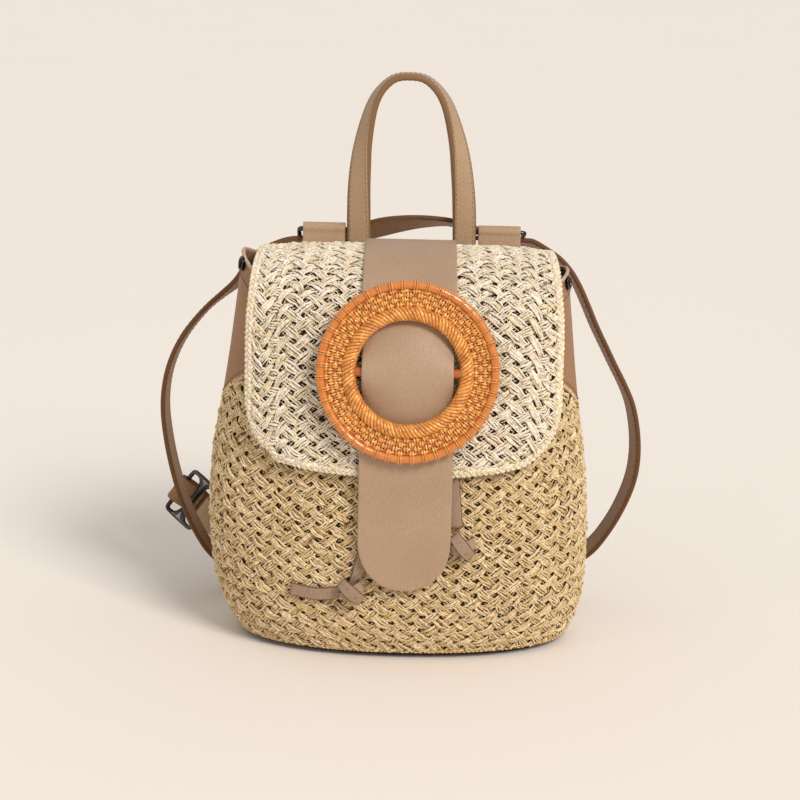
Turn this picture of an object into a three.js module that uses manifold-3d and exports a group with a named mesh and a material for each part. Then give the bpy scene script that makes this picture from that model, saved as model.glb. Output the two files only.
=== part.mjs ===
// A small woven straw backpack: a straw pouch on a leather base, a leather collar with
// eyelets and a drawstring, a straw flap with a leather tongue threaded through a rattan
// ring, a top handle, and one long leather strap that runs through two metal rings.
// Millimetres, +X to the right as seen from the front, -Y to the front, +Z up.
// The origin is the middle of the base, on the surface that the bag stands on.
import * as THREE from "three";
import { mergeVertices } from "three/addons/utils/BufferGeometryUtils.js";
import Module from "manifold-3d";

const wasm = await Module();
wasm.setup();

// Clearances
const TOUCH = 0.3; // between pieces that lie on each other
const EASE = 0.6; // between pieces that are threaded through each other

// Bag body
const BAG_HEIGHT = 257; // to the collar's rim at the sides
const BELLY_HALF_WIDTH = 126;
const BELLY_HALF_DEPTH = 67;
const STRAW_WALL = 3;
const COLLAR_WALL = 2;
const BASE_THICKNESS = 3;
const COLLAR_SIDE_HEIGHT = 104; // of the leather, from its rim to the straw, at the sides
const SEAM_RISE = 46; // how much higher the leather's seam is at the front and back
const SEAM_ROUND = 0.8; // exponent of the seam's rise, less than 1 for a broad front
const RIM_DIP = 30; // how much lower the collar's rim is at the front
const RIM_BACK_DIP = 22;
const RIM_RIGHT_DROP = 9; // how much lower the rim's right peak is
const RIM_ROUND = 1.3; // exponent of the rim's dip

// Flap
const FLAP_WALL = 3.2;
const FLAP_HALF_WIDTH = 98;
const FLAP_CORNER_RADIUS = 30;
const FLAP_EDGE_RISE = 11; // how much its lower edge rises towards the corners
const FLAP_TOP_NARROWING = 9; // how much less its half width is at its back edge
const FLAP_NARROW_SHARE = 0.625; // of its length, over which it gets to its full width
const FLAP_BEND = 2.6; // exponent of its section, higher for a flatter middle
const FLAP_BEND_REACH = 1.08; // its section's half width, as a share of its own
const FLAP_CENTRE_X = -2.5;
const FLAP_STAND_OFF = 5.2; // from the bag's front, room for the drawstring

// Tongue, ring and crossbar
const TONGUE_HALF_WIDTH = 29;
const TONGUE_THICKNESS = 2.4;
const TONGUE_TIP_HEIGHT = 52;
const TONGUE_PINCH = 1; // how much less its half width is inside the ring
const TONGUE_START_DEPTH = 36; // behind the middle, on top of the flap
const RING_OUTER_RADIUS = 56;
const RING_HOLE_RADIUS = 31.6;
const RING_ROPE_RADIUS = 4.5; // of the wrapped rope round the hole
const RING_RIM_RADIUS = 2.9; // of the rod round the rim
const RING_BAND_HALF_THICKNESS = 2.9;
const RING_HEIGHT = 192; // on the flap, behind its centre
const RING_BOW = 1.2; // how far the flap bows out behind the flat ring
const CROSSBAR_RADIUS = 3.2;
const CROSSBAR_SEAT = 4; // how deep each end sits in the ring

// Handle
const HANDLE_WIDTH = 15.5;
const HANDLE_THICKNESS = 4;
const HANDLE_SPREAD = 34.8; // from the middle to each leg
const HANDLE_TOP_HEIGHT = 363;
const HANDLE_LEAN = -3.4; // how far its top leans to the left
const HANDLE_END_HEIGHT = 226;

// Shoulder strap and its hardware
const STRAP_WIDTH = 19;
const STRAP_THICKNESS = 3;
const WIRE_RADIUS = 1.8;
const WIRE_INNER_LENGTH = 30; // the room between the short sides of a ring or a slide
const TAB_WIDTH = 28;
const TAB_BACK_BEND = 2.2; // outer radii below the bar, where its back layer starts to bend
const TAB_MEET = 20; // degrees below the bar's middle, where its front layer leaves the loop
const TAB_LEATHER = 2.4;
const TAB_SPREAD = 58; // from the middle to each top tab
const TAB_BAR_HEIGHT = 259.4;
const TAB_END_HEIGHT = 229;
const TOP_RING_TILT_LEFT = 50; // degrees back from hanging straight down
const TOP_RING_TILT_RIGHT = 72;
const ANCHOR_LEATHER = 2;
const ANCHOR_LAP = 15; // how far an anchor's end is folded back on itself
const ANCHOR_WRAP = [-100, 120]; // from and to in degrees, round the slide's first bar
const STRAP_WRAP = [100, -75]; // and the strap's end, round its last bar
const SLIDE_BAR_STEP = 12; // between the middle lines of a slide's bars

// Eyelets and drawstring
const EYELET_HOLE_RADIUS = 3;
const EYELET_RIM = 1.5; // width of the rim beyond the lip
const EYELET_LIP = 1; // thickness of the barrel, and how far it stands off the leather
const EYELET_DROP = 6.2; // below the collar's rim
const SIDE_EYELET_TURN = 12; // degrees round to the front from the bag's side
const FRONT_EYELET_SPREAD = 22;
const THONG_WIDTH = 8.5;
const THONG_NECK = 4.4; // its width where it is drawn through an eyelet
const THONG_THICKNESS = 1.6;
const KNOT_HALF_WIDTH = 7;
const KNOT_HALF_THICKNESS = 4.2;

// Fineness of the curved surfaces
const BODY_COLUMNS = 40;
const FLAP_COLUMNS = 14;
const FLAP_ROWS = 22;
const RING_SIDES = 40;
const TONGUE_STEP = 9;
const TONGUE_COLUMNS = [-1, -0.92, -0.7, -0.36, 0, 0.36, 0.7, 0.92, 1]; // shares of its half width
const EYELET_SIDES = 12;
const WIRE_SIDES = 8;

// The bag from the base up. Heights are shares of the bag's height, widths of the belly's
// half width and depths of its half depth. square is the exponent of the rounded outline.
const SECTIONS = [
  { height: 0.0, left: 0.77, right: 0.8, front: 0.71, back: 0.72, square: 2.15 },
  { height: 0.016, left: 0.85, right: 0.855, front: 0.8, back: 0.77, square: 2.15 },
  { height: 0.05, left: 0.91, right: 0.9, front: 0.9, back: 0.82, square: 2.2 },
  { height: 0.1, left: 0.958, right: 0.93, front: 0.97, back: 0.86, square: 2.2 },
  { height: 0.18, left: 1.0, right: 0.948, front: 1.02, back: 0.885, square: 2.25 },
  { height: 0.3, left: 1.022, right: 0.95, front: 1.04, back: 0.89, square: 2.3 },
  { height: 0.4, left: 1.02, right: 0.937, front: 1.025, back: 0.87, square: 2.35 },
  { height: 0.5, left: 1.003, right: 0.914, front: 0.99, back: 0.835, square: 2.4 },
  { height: 0.6, left: 0.962, right: 0.882, front: 0.945, back: 0.79, square: 2.4 },
  { height: 0.735, left: 0.918, right: 0.848, front: 0.885, back: 0.715, square: 2.4 },
  { height: 0.87, left: 0.883, right: 0.82, front: 0.8, back: 0.665, square: 2.35 },
  { height: 1.0, left: 0.85, right: 0.79, front: 0.7, back: 0.645, square: 2.3 },
];

// The flap's middle line over the top, in shares of the half depth and the bag's height,
// between its straight back part and the front part that hangs along the bag.
const FLAP_TOP = [
  { depth: 0.64, height: 0.955 },
  { depth: 0.5, height: 0.982 },
  { depth: 0.22, height: 0.9945 },
  { depth: -0.1, height: 0.995 },
  { depth: -0.4, height: 0.983 },
  { depth: -0.65, height: 0.952 },
];
const FLAP_BACK_HEIGHT = 0.862; // its lower edge on the back
const FLAP_BACK_TURN = 0.915; // where it leaves the back
const FLAP_FRONT_TURN = 0.9; // where it meets the front
const FLAP_FRONT_HEIGHT = 0.494; // its lower edge in front

// How the flap's edges fall away from its middle, along its length.
const FLAP_DROOP = [
  { along: 0.0, droop: 8 },
  { along: 0.14, droop: 5 },
  { along: 0.28, droop: 1.9 },
  { along: 0.45, droop: 4.5 },
  { along: 0.6, droop: 12 },
  { along: 1.0, droop: 20 },
];

// The tongue's way behind the ring, down its face in shares of its outer radius, and how
// much further behind than just touching, in millimetres.
const TONGUE_BACK = [
  { down: -0.84, further: 5.4 },
  { down: -0.68, further: 1.7 },
  { down: -0.52, further: 0.2 },
  { down: -0.2, further: 0 },
  { down: 0.2, further: 0 },
  { down: 0.6, further: 0 },
  { down: 1, further: 0.2 },
];

// The shoulder strap's free stretches, in shares of the belly's half width, its half depth
// and the bag's height, from the top rings to the slides. across gives the direction of
// the strap's width.
const LEFT_ARM = [
  { x: -0.8, y: 0.92, z: 0.93, across: [0.2, 0.85, -0.45] },
  { x: -0.92, y: 0.87, z: 0.862, across: [0.25, 0.95, -0.15] },
  { x: -1.06, y: 0.8, z: 0.805, across: [0.2, 0.98, 0] },
  { x: -1.19, y: 0.72, z: 0.728, across: [0.14, 0.99, 0] },
  { x: -1.266, y: 0.68, z: 0.645, across: [0.1, 0.99, 0] },
  { x: -1.294, y: 0.67, z: 0.555, across: [0.08, 0.99, 0] },
  { x: -1.28, y: 0.68, z: 0.46, across: [0.08, 0.99, 0] },
  { x: -1.242, y: 0.7, z: 0.36, across: [0.08, 0.99, 0] },
  { x: -1.19, y: 0.73, z: 0.27, across: [0.08, 0.99, 0] },
  { x: -1.12, y: 0.78, z: 0.187, across: [0.06, 1, 0] },
  { x: -1.05, y: 0.86, z: 0.128, across: [0.04, 1, 0] },
  { x: -0.94, y: 1.06, z: 0.08, across: [0, 1, 0] },
  { x: -0.8, y: 1.3, z: 0.058, across: [0, 1, 0] },
  { x: -0.66, y: 1.46, z: 0.075, across: [0, 1, 0] },
  { x: -0.59, y: 1.54, z: 0.125, across: [0, 1, 0] },
  { x: -0.62, y: 1.56, z: 0.172, across: [0.1, 0.92, 0.3] },
  { x: -0.78, y: 1.53, z: 0.195, across: [0.3, 0.6, 0.75] },
];
const RIGHT_ARM = [
  { x: 0.8, y: 0.9, z: 0.93, across: [-0.1, 0.97, -0.2] },
  { x: 0.875, y: 0.84, z: 0.88, across: [-0.2, 0.98, 0] },
  { x: 0.975, y: 0.77, z: 0.775, across: [-0.2, 0.98, 0] },
  { x: 1.085, y: 0.72, z: 0.67, across: [-0.2, 0.98, 0] },
  { x: 1.175, y: 0.69, z: 0.58, across: [-0.2, 0.98, 0] },
  { x: 1.216, y: 0.67, z: 0.476, across: [-0.2, 0.98, 0] },
  { x: 1.21, y: 0.69, z: 0.385, across: [-0.2, 0.98, 0] },
  { x: 1.16, y: 0.73, z: 0.3, across: [-0.18, 0.98, 0] },
  { x: 1.075, y: 0.8, z: 0.212, across: [-0.12, 0.98, 0.1] },
  { x: 0.985, y: 0.9, z: 0.15, across: [-0.1, 0.98, 0.15] },
  { x: 0.86, y: 1.03, z: 0.118, across: [0.05, 0.93, 0.35] },
  { x: 0.72, y: 1.12, z: 0.135, across: [0.2, 0.6, 0.77] },
];

// The slides' middles, in the same shares, the way their bars run, and the way from the
// bag out over the bars.
const LEFT_SLIDE = { x: -1.19, y: 1.28, z: 0.235, long: [0.6, 0.05, 0.8], out: [-0.78, 0.42, 0.45] };
const RIGHT_SLIDE = { x: 0.48, y: 1.18, z: 0.215, long: [0.5, 0, 0.87], out: [-0.55, 0.7, 0.45] };

// Where the anchors are sewn on the bag's back, and the points that lead to the slides.
const LEFT_ANCHOR = [
  { x: -0.64, z: 0.14, stand: 0.5, turn: 0.05 },
  { x: -0.75, z: 0.147, stand: 0.9, turn: 0.1 },
  { x: -0.87, z: 0.155, stand: 10, turn: 0.2 },
];
const RIGHT_ANCHOR = [
  { x: 0.77, z: 0.12, stand: 0.8, turn: 0.1 },
  { x: 0.68, z: 0.13, stand: 0.8, turn: 0.15 },
  { x: 0.62, z: 0.15, stand: 7, turn: 0.3 },
];

// Where the drawstring's ends lie on the bag's front: sideways in shares of the belly's
// half width, upwards in shares of the bag's height, with the thong's own width.
const LEFT_THONG = [
  { x: -0.175, z: 0.79, width: THONG_WIDTH },
  { x: -0.165, z: 0.72, width: THONG_WIDTH },
  { x: -0.15, z: 0.62, width: THONG_WIDTH },
  { x: -0.14, z: 0.48, width: THONG_WIDTH },
  { x: -0.16, z: 0.37, width: THONG_WIDTH },
  { x: -0.2, z: 0.29, width: THONG_WIDTH },
  { x: -0.225, z: 0.238, width: THONG_WIDTH },
];
const LEFT_TAIL = [
  { x: -0.325, z: 0.188, width: THONG_WIDTH },
  { x: -0.43, z: 0.181, width: THONG_WIDTH },
  { x: -0.565, z: 0.187, width: THONG_WIDTH },
];
const LEFT_KNOT = { x: -0.255, z: 0.2 };
const RIGHT_THONG = [
  { x: 0.18, z: 0.79, width: THONG_WIDTH },
  { x: 0.195, z: 0.72, width: THONG_WIDTH },
  { x: 0.213, z: 0.62, width: THONG_WIDTH },
  { x: 0.23, z: 0.5, width: THONG_WIDTH },
  { x: 0.244, z: 0.42, width: THONG_WIDTH },
  { x: 0.256, z: 0.364, width: THONG_WIDTH },
];
const RIGHT_KNOT = { x: 0.29, z: 0.322 };

const STRAW = new THREE.MeshStandardMaterial({ color: 0xcdb684, roughness: 0.85, metalness: 0 });
const LEATHER = new THREE.MeshStandardMaterial({ color: 0xb39473, roughness: 0.55, metalness: 0 });
const BASE_LEATHER = new THREE.MeshStandardMaterial({ color: 0x5a4232, roughness: 0.7, metalness: 0 });
const RATTAN = new THREE.MeshStandardMaterial({ color: 0xd27c26, roughness: 0.35, metalness: 0 });
const GUNMETAL = new THREE.MeshStandardMaterial({ color: 0x3a3636, roughness: 0.25, metalness: 1 });

// Geometry helpers

// A smooth value of one column of a table, read at a share along another column.
function read(table, key, column, at) {
  const last = table.length - 1;
  if (at <= table[0][key]) return table[0][column];
  if (at >= table[last][key]) return table[last][column];
  let i = 0;
  while (table[i + 1][key] < at) i += 1;
  const slope = (k) => {
    if (k <= 0 || k >= last) return 0;
    return (table[k + 1][column] - table[k - 1][column]) / (table[k + 1][key] - table[k - 1][key]);
  };
  const span = table[i + 1][key] - table[i][key];
  const t = (at - table[i][key]) / span;
  const rise = table[i + 1][column] - table[i][column];
  const startSlope = (i === 0 ? rise / span : slope(i)) * span;
  const endSlope = (i + 1 === last ? rise / span : slope(i + 1)) * span;
  return (
    table[i][column] +
    rise * t * t * (3 - 2 * t) +
    startSlope * t * (1 - t) * (1 - t) -
    endSlope * t * t * (1 - t)
  );
}

// A closed sheet with thickness between two grids of points, given as columns of rows.
// wrap joins the last column to the first.
function sheet(outer, inner, wrap = false) {
  const columns = outer.length;
  const rows = outer[0].length;
  const points = [...outer.flat(), ...inner.flat()];
  const out = (i, j) => (i % columns) * rows + j;
  const inn = (i, j) => columns * rows + (i % columns) * rows + j;
  const faces = [];
  const quad = (a, b, c, d) => faces.push(a, b, c, a, c, d);
  const spans = wrap ? columns : columns - 1;
  for (let i = 0; i < spans; i += 1) {
    for (let j = 0; j < rows - 1; j += 1) {
      quad(out(i, j), out(i + 1, j), out(i + 1, j + 1), out(i, j + 1));
      quad(inn(i, j), inn(i, j + 1), inn(i + 1, j + 1), inn(i + 1, j));
    }
    quad(out(i, 0), inn(i, 0), inn(i + 1, 0), out(i + 1, 0));
    quad(out(i, rows - 1), out(i + 1, rows - 1), inn(i + 1, rows - 1), inn(i, rows - 1));
  }
  if (!wrap) {
    for (let j = 0; j < rows - 1; j += 1) {
      const k = columns - 1;
      quad(out(0, j), out(0, j + 1), inn(0, j + 1), inn(0, j));
      quad(out(k, j), inn(k, j), inn(k, j + 1), out(k, j + 1));
    }
  }
  return meshOf(points, faces);
}

// A flat strip swept along a line. stops hold a point, the direction of the strip's width
// and, where it changes, that width.
function strip(stops, width, thickness) {
  const sides = [[], [], [], []];
  stops.forEach((stop, i) => {
    const before = stops[Math.max(i - 1, 0)].point;
    const after = stops[Math.min(i + 1, stops.length - 1)].point;
    const along = after.clone().sub(before).normalize();
    const across = stop.across.clone().addScaledVector(along, -stop.across.dot(along)).normalize();
    const up = across.clone().cross(along);
    const half = (stop.width || width) / 2;
    [[-1, 1], [1, 1], [-1, -1], [1, -1]].forEach(([side, face], k) => {
      const corner = stop.point.clone().addScaledVector(across, side * half);
      sides[k].push(corner.addScaledVector(up, (face * thickness) / 2));
    });
  });
  return sheet([sides[0], sides[1]], [sides[2], sides[3]]);
}

// Stops on a smooth curve through the given ones, with as many steps in each stretch.
function smoothStops(stops, steps) {
  const smooth = (values, kind) => new THREE.CatmullRomCurve3(values, false, kind);
  const line = smooth(stops.map((s) => s.point), "centripetal");
  const turn = smooth(stops.map((s) => s.across), "catmullrom");
  const count = (stops.length - 1) * steps;
  return Array.from({ length: count + 1 }, (_, i) => {
    const t = i / count;
    const stop = { point: line.getPoint(t), across: turn.getPoint(t).normalize() };
    const before = stops[Math.floor(i / steps)];
    const after = stops[Math.ceil(i / steps)];
    const part = (i % steps) / steps;
    if (before.width) stop.width = before.width + (after.width - before.width) * part;
    return stop;
  });
}

function meshOf(points, faces) {
  const geometry = new THREE.BufferGeometry();
  const flat = points.flatMap((p) => [p.x, p.y, p.z]);
  geometry.setAttribute("position", new THREE.Float32BufferAttribute(flat, 3));
  geometry.setIndex(faces);
  geometry.computeVertexNormals();
  return geometry;
}

function solidOf(geometry) {
  const bare = geometry.index ? geometry.toNonIndexed() : geometry.clone();
  bare.deleteAttribute("normal");
  bare.deleteAttribute("uv");
  const merged = mergeVertices(bare, 1e-3);
  return new wasm.Manifold(
    new wasm.Mesh({
      numProp: 3,
      vertProperties: merged.attributes.position.array,
      triVerts: new Uint32Array(merged.index.array),
    }),
  );
}

function geometryOf(solid) {
  const mesh = solid.getMesh();
  const geometry = new THREE.BufferGeometry();
  geometry.setAttribute("position", new THREE.BufferAttribute(mesh.vertProperties.slice(), 3));
  geometry.setIndex(new THREE.BufferAttribute(mesh.triVerts.slice(), 1));
  geometry.computeVertexNormals();
  return geometry;
}

function cut(geometry, ...tools) {
  return geometryOf(tools.reduce((made, tool) => made.subtract(solidOf(tool)), solidOf(geometry)));
}

// A cylinder about a point, along a direction.
function rod(centre, direction, radius, length, sides = 16) {
  const geometry = new THREE.CylinderGeometry(radius, radius, length, sides);
  const up = new THREE.Vector3(0, 1, 0);
  geometry.applyQuaternion(
    new THREE.Quaternion().setFromUnitVectors(up, direction.clone().normalize()),
  );
  geometry.translate(centre.x, centre.y, centre.z);
  return geometry;
}

function vector(list) {
  return new THREE.Vector3(...list).normalize();
}

// The bag's outer surface

function outlineAt(height) {
  const at = height / BAG_HEIGHT;
  const value = (column) => read(SECTIONS, "height", column, at);
  return {
    left: BELLY_HALF_WIDTH * value("left"),
    right: BELLY_HALF_WIDTH * value("right"),
    front: BELLY_HALF_DEPTH * value("front"),
    back: BELLY_HALF_DEPTH * value("back"),
    square: value("square"),
  };
}

// Angle 0 is the bag's side at +X, and angles run round by the back.
function bagPoint(angle, height, inset = 0) {
  const outline = outlineAt(height);
  const power = 2 / outline.square;
  const c = Math.cos(angle);
  const s = Math.sin(angle);
  const wide = (c < 0 ? outline.left : outline.right) - inset;
  const deep = (s < 0 ? outline.front : outline.back) - inset;
  return new THREE.Vector3(
    Math.sign(c) * wide * Math.abs(c) ** power,
    Math.sign(s) * deep * Math.abs(s) ** power,
    height,
  );
}

// How far out the bag's front or back lies at a place across it.
function bagDepth(x, height, side) {
  const outline = outlineAt(height);
  const wide = x < 0 ? outline.left : outline.right;
  const share = Math.max(0, 1 - Math.abs(x / wide) ** outline.square);
  return outline[side] * share ** (1 / outline.square);
}

function seamHeight(angle) {
  return BAG_HEIGHT - COLLAR_SIDE_HEIGHT + SEAM_RISE * Math.abs(Math.sin(angle)) ** SEAM_ROUND;
}

function rimHeight(angle) {
  const dip = Math.sin(angle) < 0 ? RIM_DIP : RIM_BACK_DIP;
  const right = RIM_RIGHT_DROP * Math.max(0, Math.cos(angle)) ** 2;
  return BAG_HEIGHT - right - (dip - right) * Math.abs(Math.sin(angle)) ** RIM_ROUND;
}

function bagShell(bottom, top, wall, shares) {
  const columns = (inset) =>
    Array.from({ length: BODY_COLUMNS }, (_, i) => {
      const angle = (2 * Math.PI * i) / BODY_COLUMNS;
      const low = bottom(angle);
      return shares.map((share) => bagPoint(angle, low + (top(angle) - low) * share, inset));
    });
  return sheet(columns(0), columns(wall), true);
}

function makeBase() {
  const outline = Array.from({ length: BODY_COLUMNS }, (_, i) => {
    const p = bagPoint((2 * Math.PI * i) / BODY_COLUMNS, 0);
    return new THREE.Vector2(p.x, p.y);
  });
  return new THREE.ExtrudeGeometry(new THREE.Shape(outline), {
    depth: BASE_THICKNESS,
    bevelEnabled: false,
  });
}

function makeStrawBody() {
  const shares = [0, 0.02, 0.06, 0.12, 0.21, 0.32, 0.47, 0.64, 0.82, 1];
  return bagShell(
    () => BASE_THICKNESS + TOUCH,
    (angle) => seamHeight(angle) - TOUCH / 2,
    STRAW_WALL,
    shares,
  );
}

// Eyelets in the collar: two at the sides and two at the front, on the drawstring's hem.
function eyeletAt(angle) {
  const height = rimHeight(angle) - EYELET_DROP;
  const centre = bagPoint(angle, height, COLLAR_WALL / 2);
  const beside = bagPoint(angle + 0.05, height).sub(bagPoint(angle - 0.05, height));
  const above = bagPoint(angle, height + 3).sub(bagPoint(angle, height - 3));
  return { centre, axis: beside.cross(above).normalize() };
}

function eyeletPlaces() {
  const turn = THREE.MathUtils.degToRad(SIDE_EYELET_TURN);
  const rim = outlineAt(BAG_HEIGHT);
  const frontTurn = (half) => Math.acos((FRONT_EYELET_SPREAD / half) ** (rim.square / 2));
  return {
    side_eyelet_left: eyeletAt(Math.PI + turn),
    side_eyelet_right: eyeletAt(-turn),
    front_eyelet_left: eyeletAt(Math.PI + frontTurn(rim.left)),
    front_eyelet_right: eyeletAt(-frontTurn(rim.right)),
  };
}

const EYELETS = eyeletPlaces();
const EYELET_BARREL = EYELET_HOLE_RADIUS + EYELET_LIP;

function makeCollar() {
  const shell = bagShell(
    (angle) => seamHeight(angle) + TOUCH / 2,
    rimHeight,
    COLLAR_WALL,
    [0, 0.33, 0.67, 1],
  );
  const holes = Object.values(EYELETS).map((place) =>
    rod(place.centre, place.axis, EYELET_BARREL + 2 * TOUCH, 6 * COLLAR_WALL),
  );
  return cut(shell, ...holes);
}

function makeEyelet(place) {
  const half = COLLAR_WALL / 2 + 3 * TOUCH;
  const rim = EYELET_BARREL + EYELET_RIM;
  const crown = half + EYELET_LIP;
  const profile = [
    [EYELET_HOLE_RADIUS, -half],
    [EYELET_BARREL, -crown],
    [rim, -half],
    [EYELET_BARREL, -half],
    [EYELET_BARREL, half],
    [rim, half],
    [EYELET_BARREL, crown],
    [EYELET_HOLE_RADIUS, half],
    [EYELET_HOLE_RADIUS, -half],
  ].map(([r, z]) => new THREE.Vector2(r, z));
  const geometry = new THREE.LatheGeometry(profile, EYELET_SIDES);
  const up = new THREE.Vector3(0, 1, 0);
  geometry.applyQuaternion(new THREE.Quaternion().setFromUnitVectors(up, place.axis));
  geometry.translate(place.centre.x, place.centre.y, place.centre.z);
  return geometry;
}

// Flap

// The flap's middle line in depth and height: up the back, over the top, down the front.
function flapLine() {
  const middle = FLAP_WALL / 2;
  const backs = [FLAP_BACK_HEIGHT, (FLAP_BACK_HEIGHT + FLAP_BACK_TURN) / 2, FLAP_BACK_TURN];
  const points = backs.map((share) => {
    const height = BAG_HEIGHT * share;
    return [bagDepth(0, height, "back") + TOUCH + middle, height];
  });
  FLAP_TOP.forEach((row) => points.push([BELLY_HALF_DEPTH * row.depth, BAG_HEIGHT * row.height]));
  const steps = 5;
  for (let i = 0; i <= steps; i += 1) {
    const share = FLAP_FRONT_TURN + ((FLAP_FRONT_HEIGHT - FLAP_FRONT_TURN) * i) / steps;
    const height = BAG_HEIGHT * share;
    points.push([-bagDepth(0, height, "front") - FLAP_STAND_OFF - middle, height]);
  }
  const line = points.map(([y, z]) => new THREE.Vector3(0, y, z));
  return new THREE.CatmullRomCurve3(line, false, "centripetal");
}

const FLAP_LINE = flapLine();
const FLAP_LENGTH = FLAP_LINE.getLength();

// The outward direction of a line that lies in depth and height.
function outwardsOf(tangent) {
  return new THREE.Vector3(0, tangent.z, -tangent.y).normalize();
}

// A point of the flap: across from -1 to 1, along in millimetres from its back edge, and
// lift towards the outside from its middle.
function flapPoint(across, along, lift) {
  const share = Math.min(along / FLAP_LENGTH, 1);
  const centre = FLAP_LINE.getPointAt(share);
  const rounded = 1 - Math.abs(across / FLAP_BEND_REACH) ** FLAP_BEND;
  const bend = 1 - rounded ** (1 / FLAP_BEND);
  const droop = read(FLAP_DROOP, "along", "droop", share) * 2 * bend;
  centre.addScaledVector(outwardsOf(FLAP_LINE.getTangentAt(share)), lift - droop);
  const narrowing = FLAP_TOP_NARROWING * Math.max(0, 1 - share / FLAP_NARROW_SHARE);
  centre.x = FLAP_CENTRE_X + across * (FLAP_HALF_WIDTH - narrowing);
  return centre;
}

// How much shorter the flap is at a place across it than at its middle.
function flapCut(across) {
  const past = Math.abs(across) * FLAP_HALF_WIDTH - (FLAP_HALF_WIDTH - FLAP_CORNER_RADIUS);
  const round = Math.max(0, past / FLAP_CORNER_RADIUS);
  const corner = FLAP_CORNER_RADIUS * (1 - Math.sqrt(Math.max(0, 1 - round * round)));
  return FLAP_EDGE_RISE * across * across + corner;
}

function makeFlap() {
  const columns = (lift) =>
    Array.from({ length: FLAP_COLUMNS + 1 }, (_, i) => {
      const across = Math.sin(Math.PI * (i / FLAP_COLUMNS - 0.5));
      const reach = FLAP_LENGTH - flapCut(across);
      return Array.from({ length: FLAP_ROWS + 1 }, (_, j) =>
        flapPoint(across, (reach * j) / FLAP_ROWS, lift),
      );
    });
  return sheet(columns(-FLAP_WALL / 2), columns(FLAP_WALL / 2));
}

// How far along the flap its front comes down to a height.
function flapAlongAt(height) {
  let low = FLAP_LENGTH / 2;
  let high = FLAP_LENGTH;
  for (let i = 0; i < 40; i += 1) {
    const middle = (low + high) / 2;
    if (FLAP_LINE.getPointAt(middle / FLAP_LENGTH).z > height) low = middle;
    else high = middle;
  }
  return low;
}

// Ring and tongue. The tongue lies on the flap, goes behind the ring, over its crossbar and
// behind it again, and hangs down to a round tip.
function ringFrame() {
  const share = flapAlongAt(RING_HEIGHT) / FLAP_LENGTH;
  const down = FLAP_LINE.getTangentAt(share).normalize();
  const outwards = outwardsOf(down);
  const seat = FLAP_WALL / 2 + 3 * TOUCH + TONGUE_THICKNESS + RING_ROPE_RADIUS + RING_BOW;
  return { centre: FLAP_LINE.getPointAt(share).addScaledVector(outwards, seat), down, outwards };
}

const RING = ringFrame();
const RING_ROPE_CENTRE = RING_HOLE_RADIUS + RING_ROPE_RADIUS;

// A place by the ring's middle: down its face and out from it.
function atRing(down, out) {
  const centre = RING.centre.clone();
  return centre.addScaledVector(RING.down, down).addScaledVector(RING.outwards, out);
}

// The tongue's line where it lies flat on the flap and straight behind the ring.
function tongueLine() {
  const lie = FLAP_WALL / 2 + TOUCH + TONGUE_THICKNESS / 2;
  const points = [];
  const ringTop = RING.centre.z + RING_OUTER_RADIUS * 0.9;
  for (let along = 0; along < FLAP_LENGTH; along += 8) {
    const point = flapPoint(0, along, lie);
    const onTop = point.y < TONGUE_START_DEPTH;
    const clear = point.z > ringTop || point.y > -BELLY_HALF_DEPTH * 0.6;
    if (onTop && clear) points.push(point);
  }
  for (const row of TONGUE_BACK) {
    points.push(atRing(row.down * RING_OUTER_RADIUS, TONGUE_BEHIND - row.further));
  }
  const hang = THONG_THICKNESS + 4 * TOUCH + TONGUE_THICKNESS;
  for (const share of [0.42, 0.34, 0.26, TONGUE_TIP_HEIGHT / BAG_HEIGHT]) {
    const height = BAG_HEIGHT * share;
    points.push(new THREE.Vector3(0, -bagDepth(0, height, "front") - hang, height));
  }
  points.forEach((p) => {
    p.x = 0;
  });
  return new THREE.CatmullRomCurve3(points, false, "centripetal");
}

const TONGUE_BEHIND = -(RING_ROPE_RADIUS + 2 * TOUCH + TONGUE_THICKNESS / 2);
const TONGUE_OVER = CROSSBAR_RADIUS + 2 * TOUCH + TONGUE_THICKNESS / 2;

// How far the tongue stands out through the ring: over the crossbar along its middle, and
// back behind the rope all round the hole.
function tongueBulge(down, x) {
  const reach = RING_HOLE_RADIUS + 0.35 * RING_ROPE_RADIUS;
  if (Math.hypot(down, x) >= reach) return 0;
  const share = Math.abs(down) / Math.sqrt(reach * reach - x * x);
  const edge = (x / TONGUE_HALF_WIDTH) ** 2;
  const dome = 1 - share ** 2;
  const wave = (1 + Math.cos(Math.PI * share)) / 2;
  return (TONGUE_OVER - TONGUE_BEHIND) * ((1 - edge) * dome + edge * wave);
}

function makeTongue() {
  const line = tongueLine();
  const length = line.getLength();
  const places = [];
  for (let along = 0; along < length - TONGUE_STEP / 2; ) {
    places.push(along);
    const down = line.getPointAt(along / length).sub(RING.centre).dot(RING.down);
    along += Math.abs(down) < RING_HOLE_RADIUS + TONGUE_STEP ? TONGUE_STEP / 2 : TONGUE_STEP;
  }
  places.push(length);
  const tail = 2 * TONGUE_HALF_WIDTH;
  const columns = (lift) =>
    TONGUE_COLUMNS.map((across) => {
      const tip = TONGUE_HALF_WIDTH * (1 - Math.sqrt(1 - across * across));
      return places.map((along) => {
        const past = Math.max(0, along - (length - tail));
        const share = (along - (past * tip) / tail) / length;
        const point = line.getPointAt(share);
        const down = point.clone().sub(RING.centre).dot(RING.down);
        point.addScaledVector(outwardsOf(line.getTangentAt(share)), lift);
        const pinch = Math.abs(down) < RING_HOLE_RADIUS ? TONGUE_PINCH : 0;
        point.x = across * (TONGUE_HALF_WIDTH - pinch);
        return point.addScaledVector(RING.outwards, tongueBulge(down, point.x));
      });
    });
  return sheet(columns(-TONGUE_THICKNESS / 2), columns(TONGUE_THICKNESS / 2));
}

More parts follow.
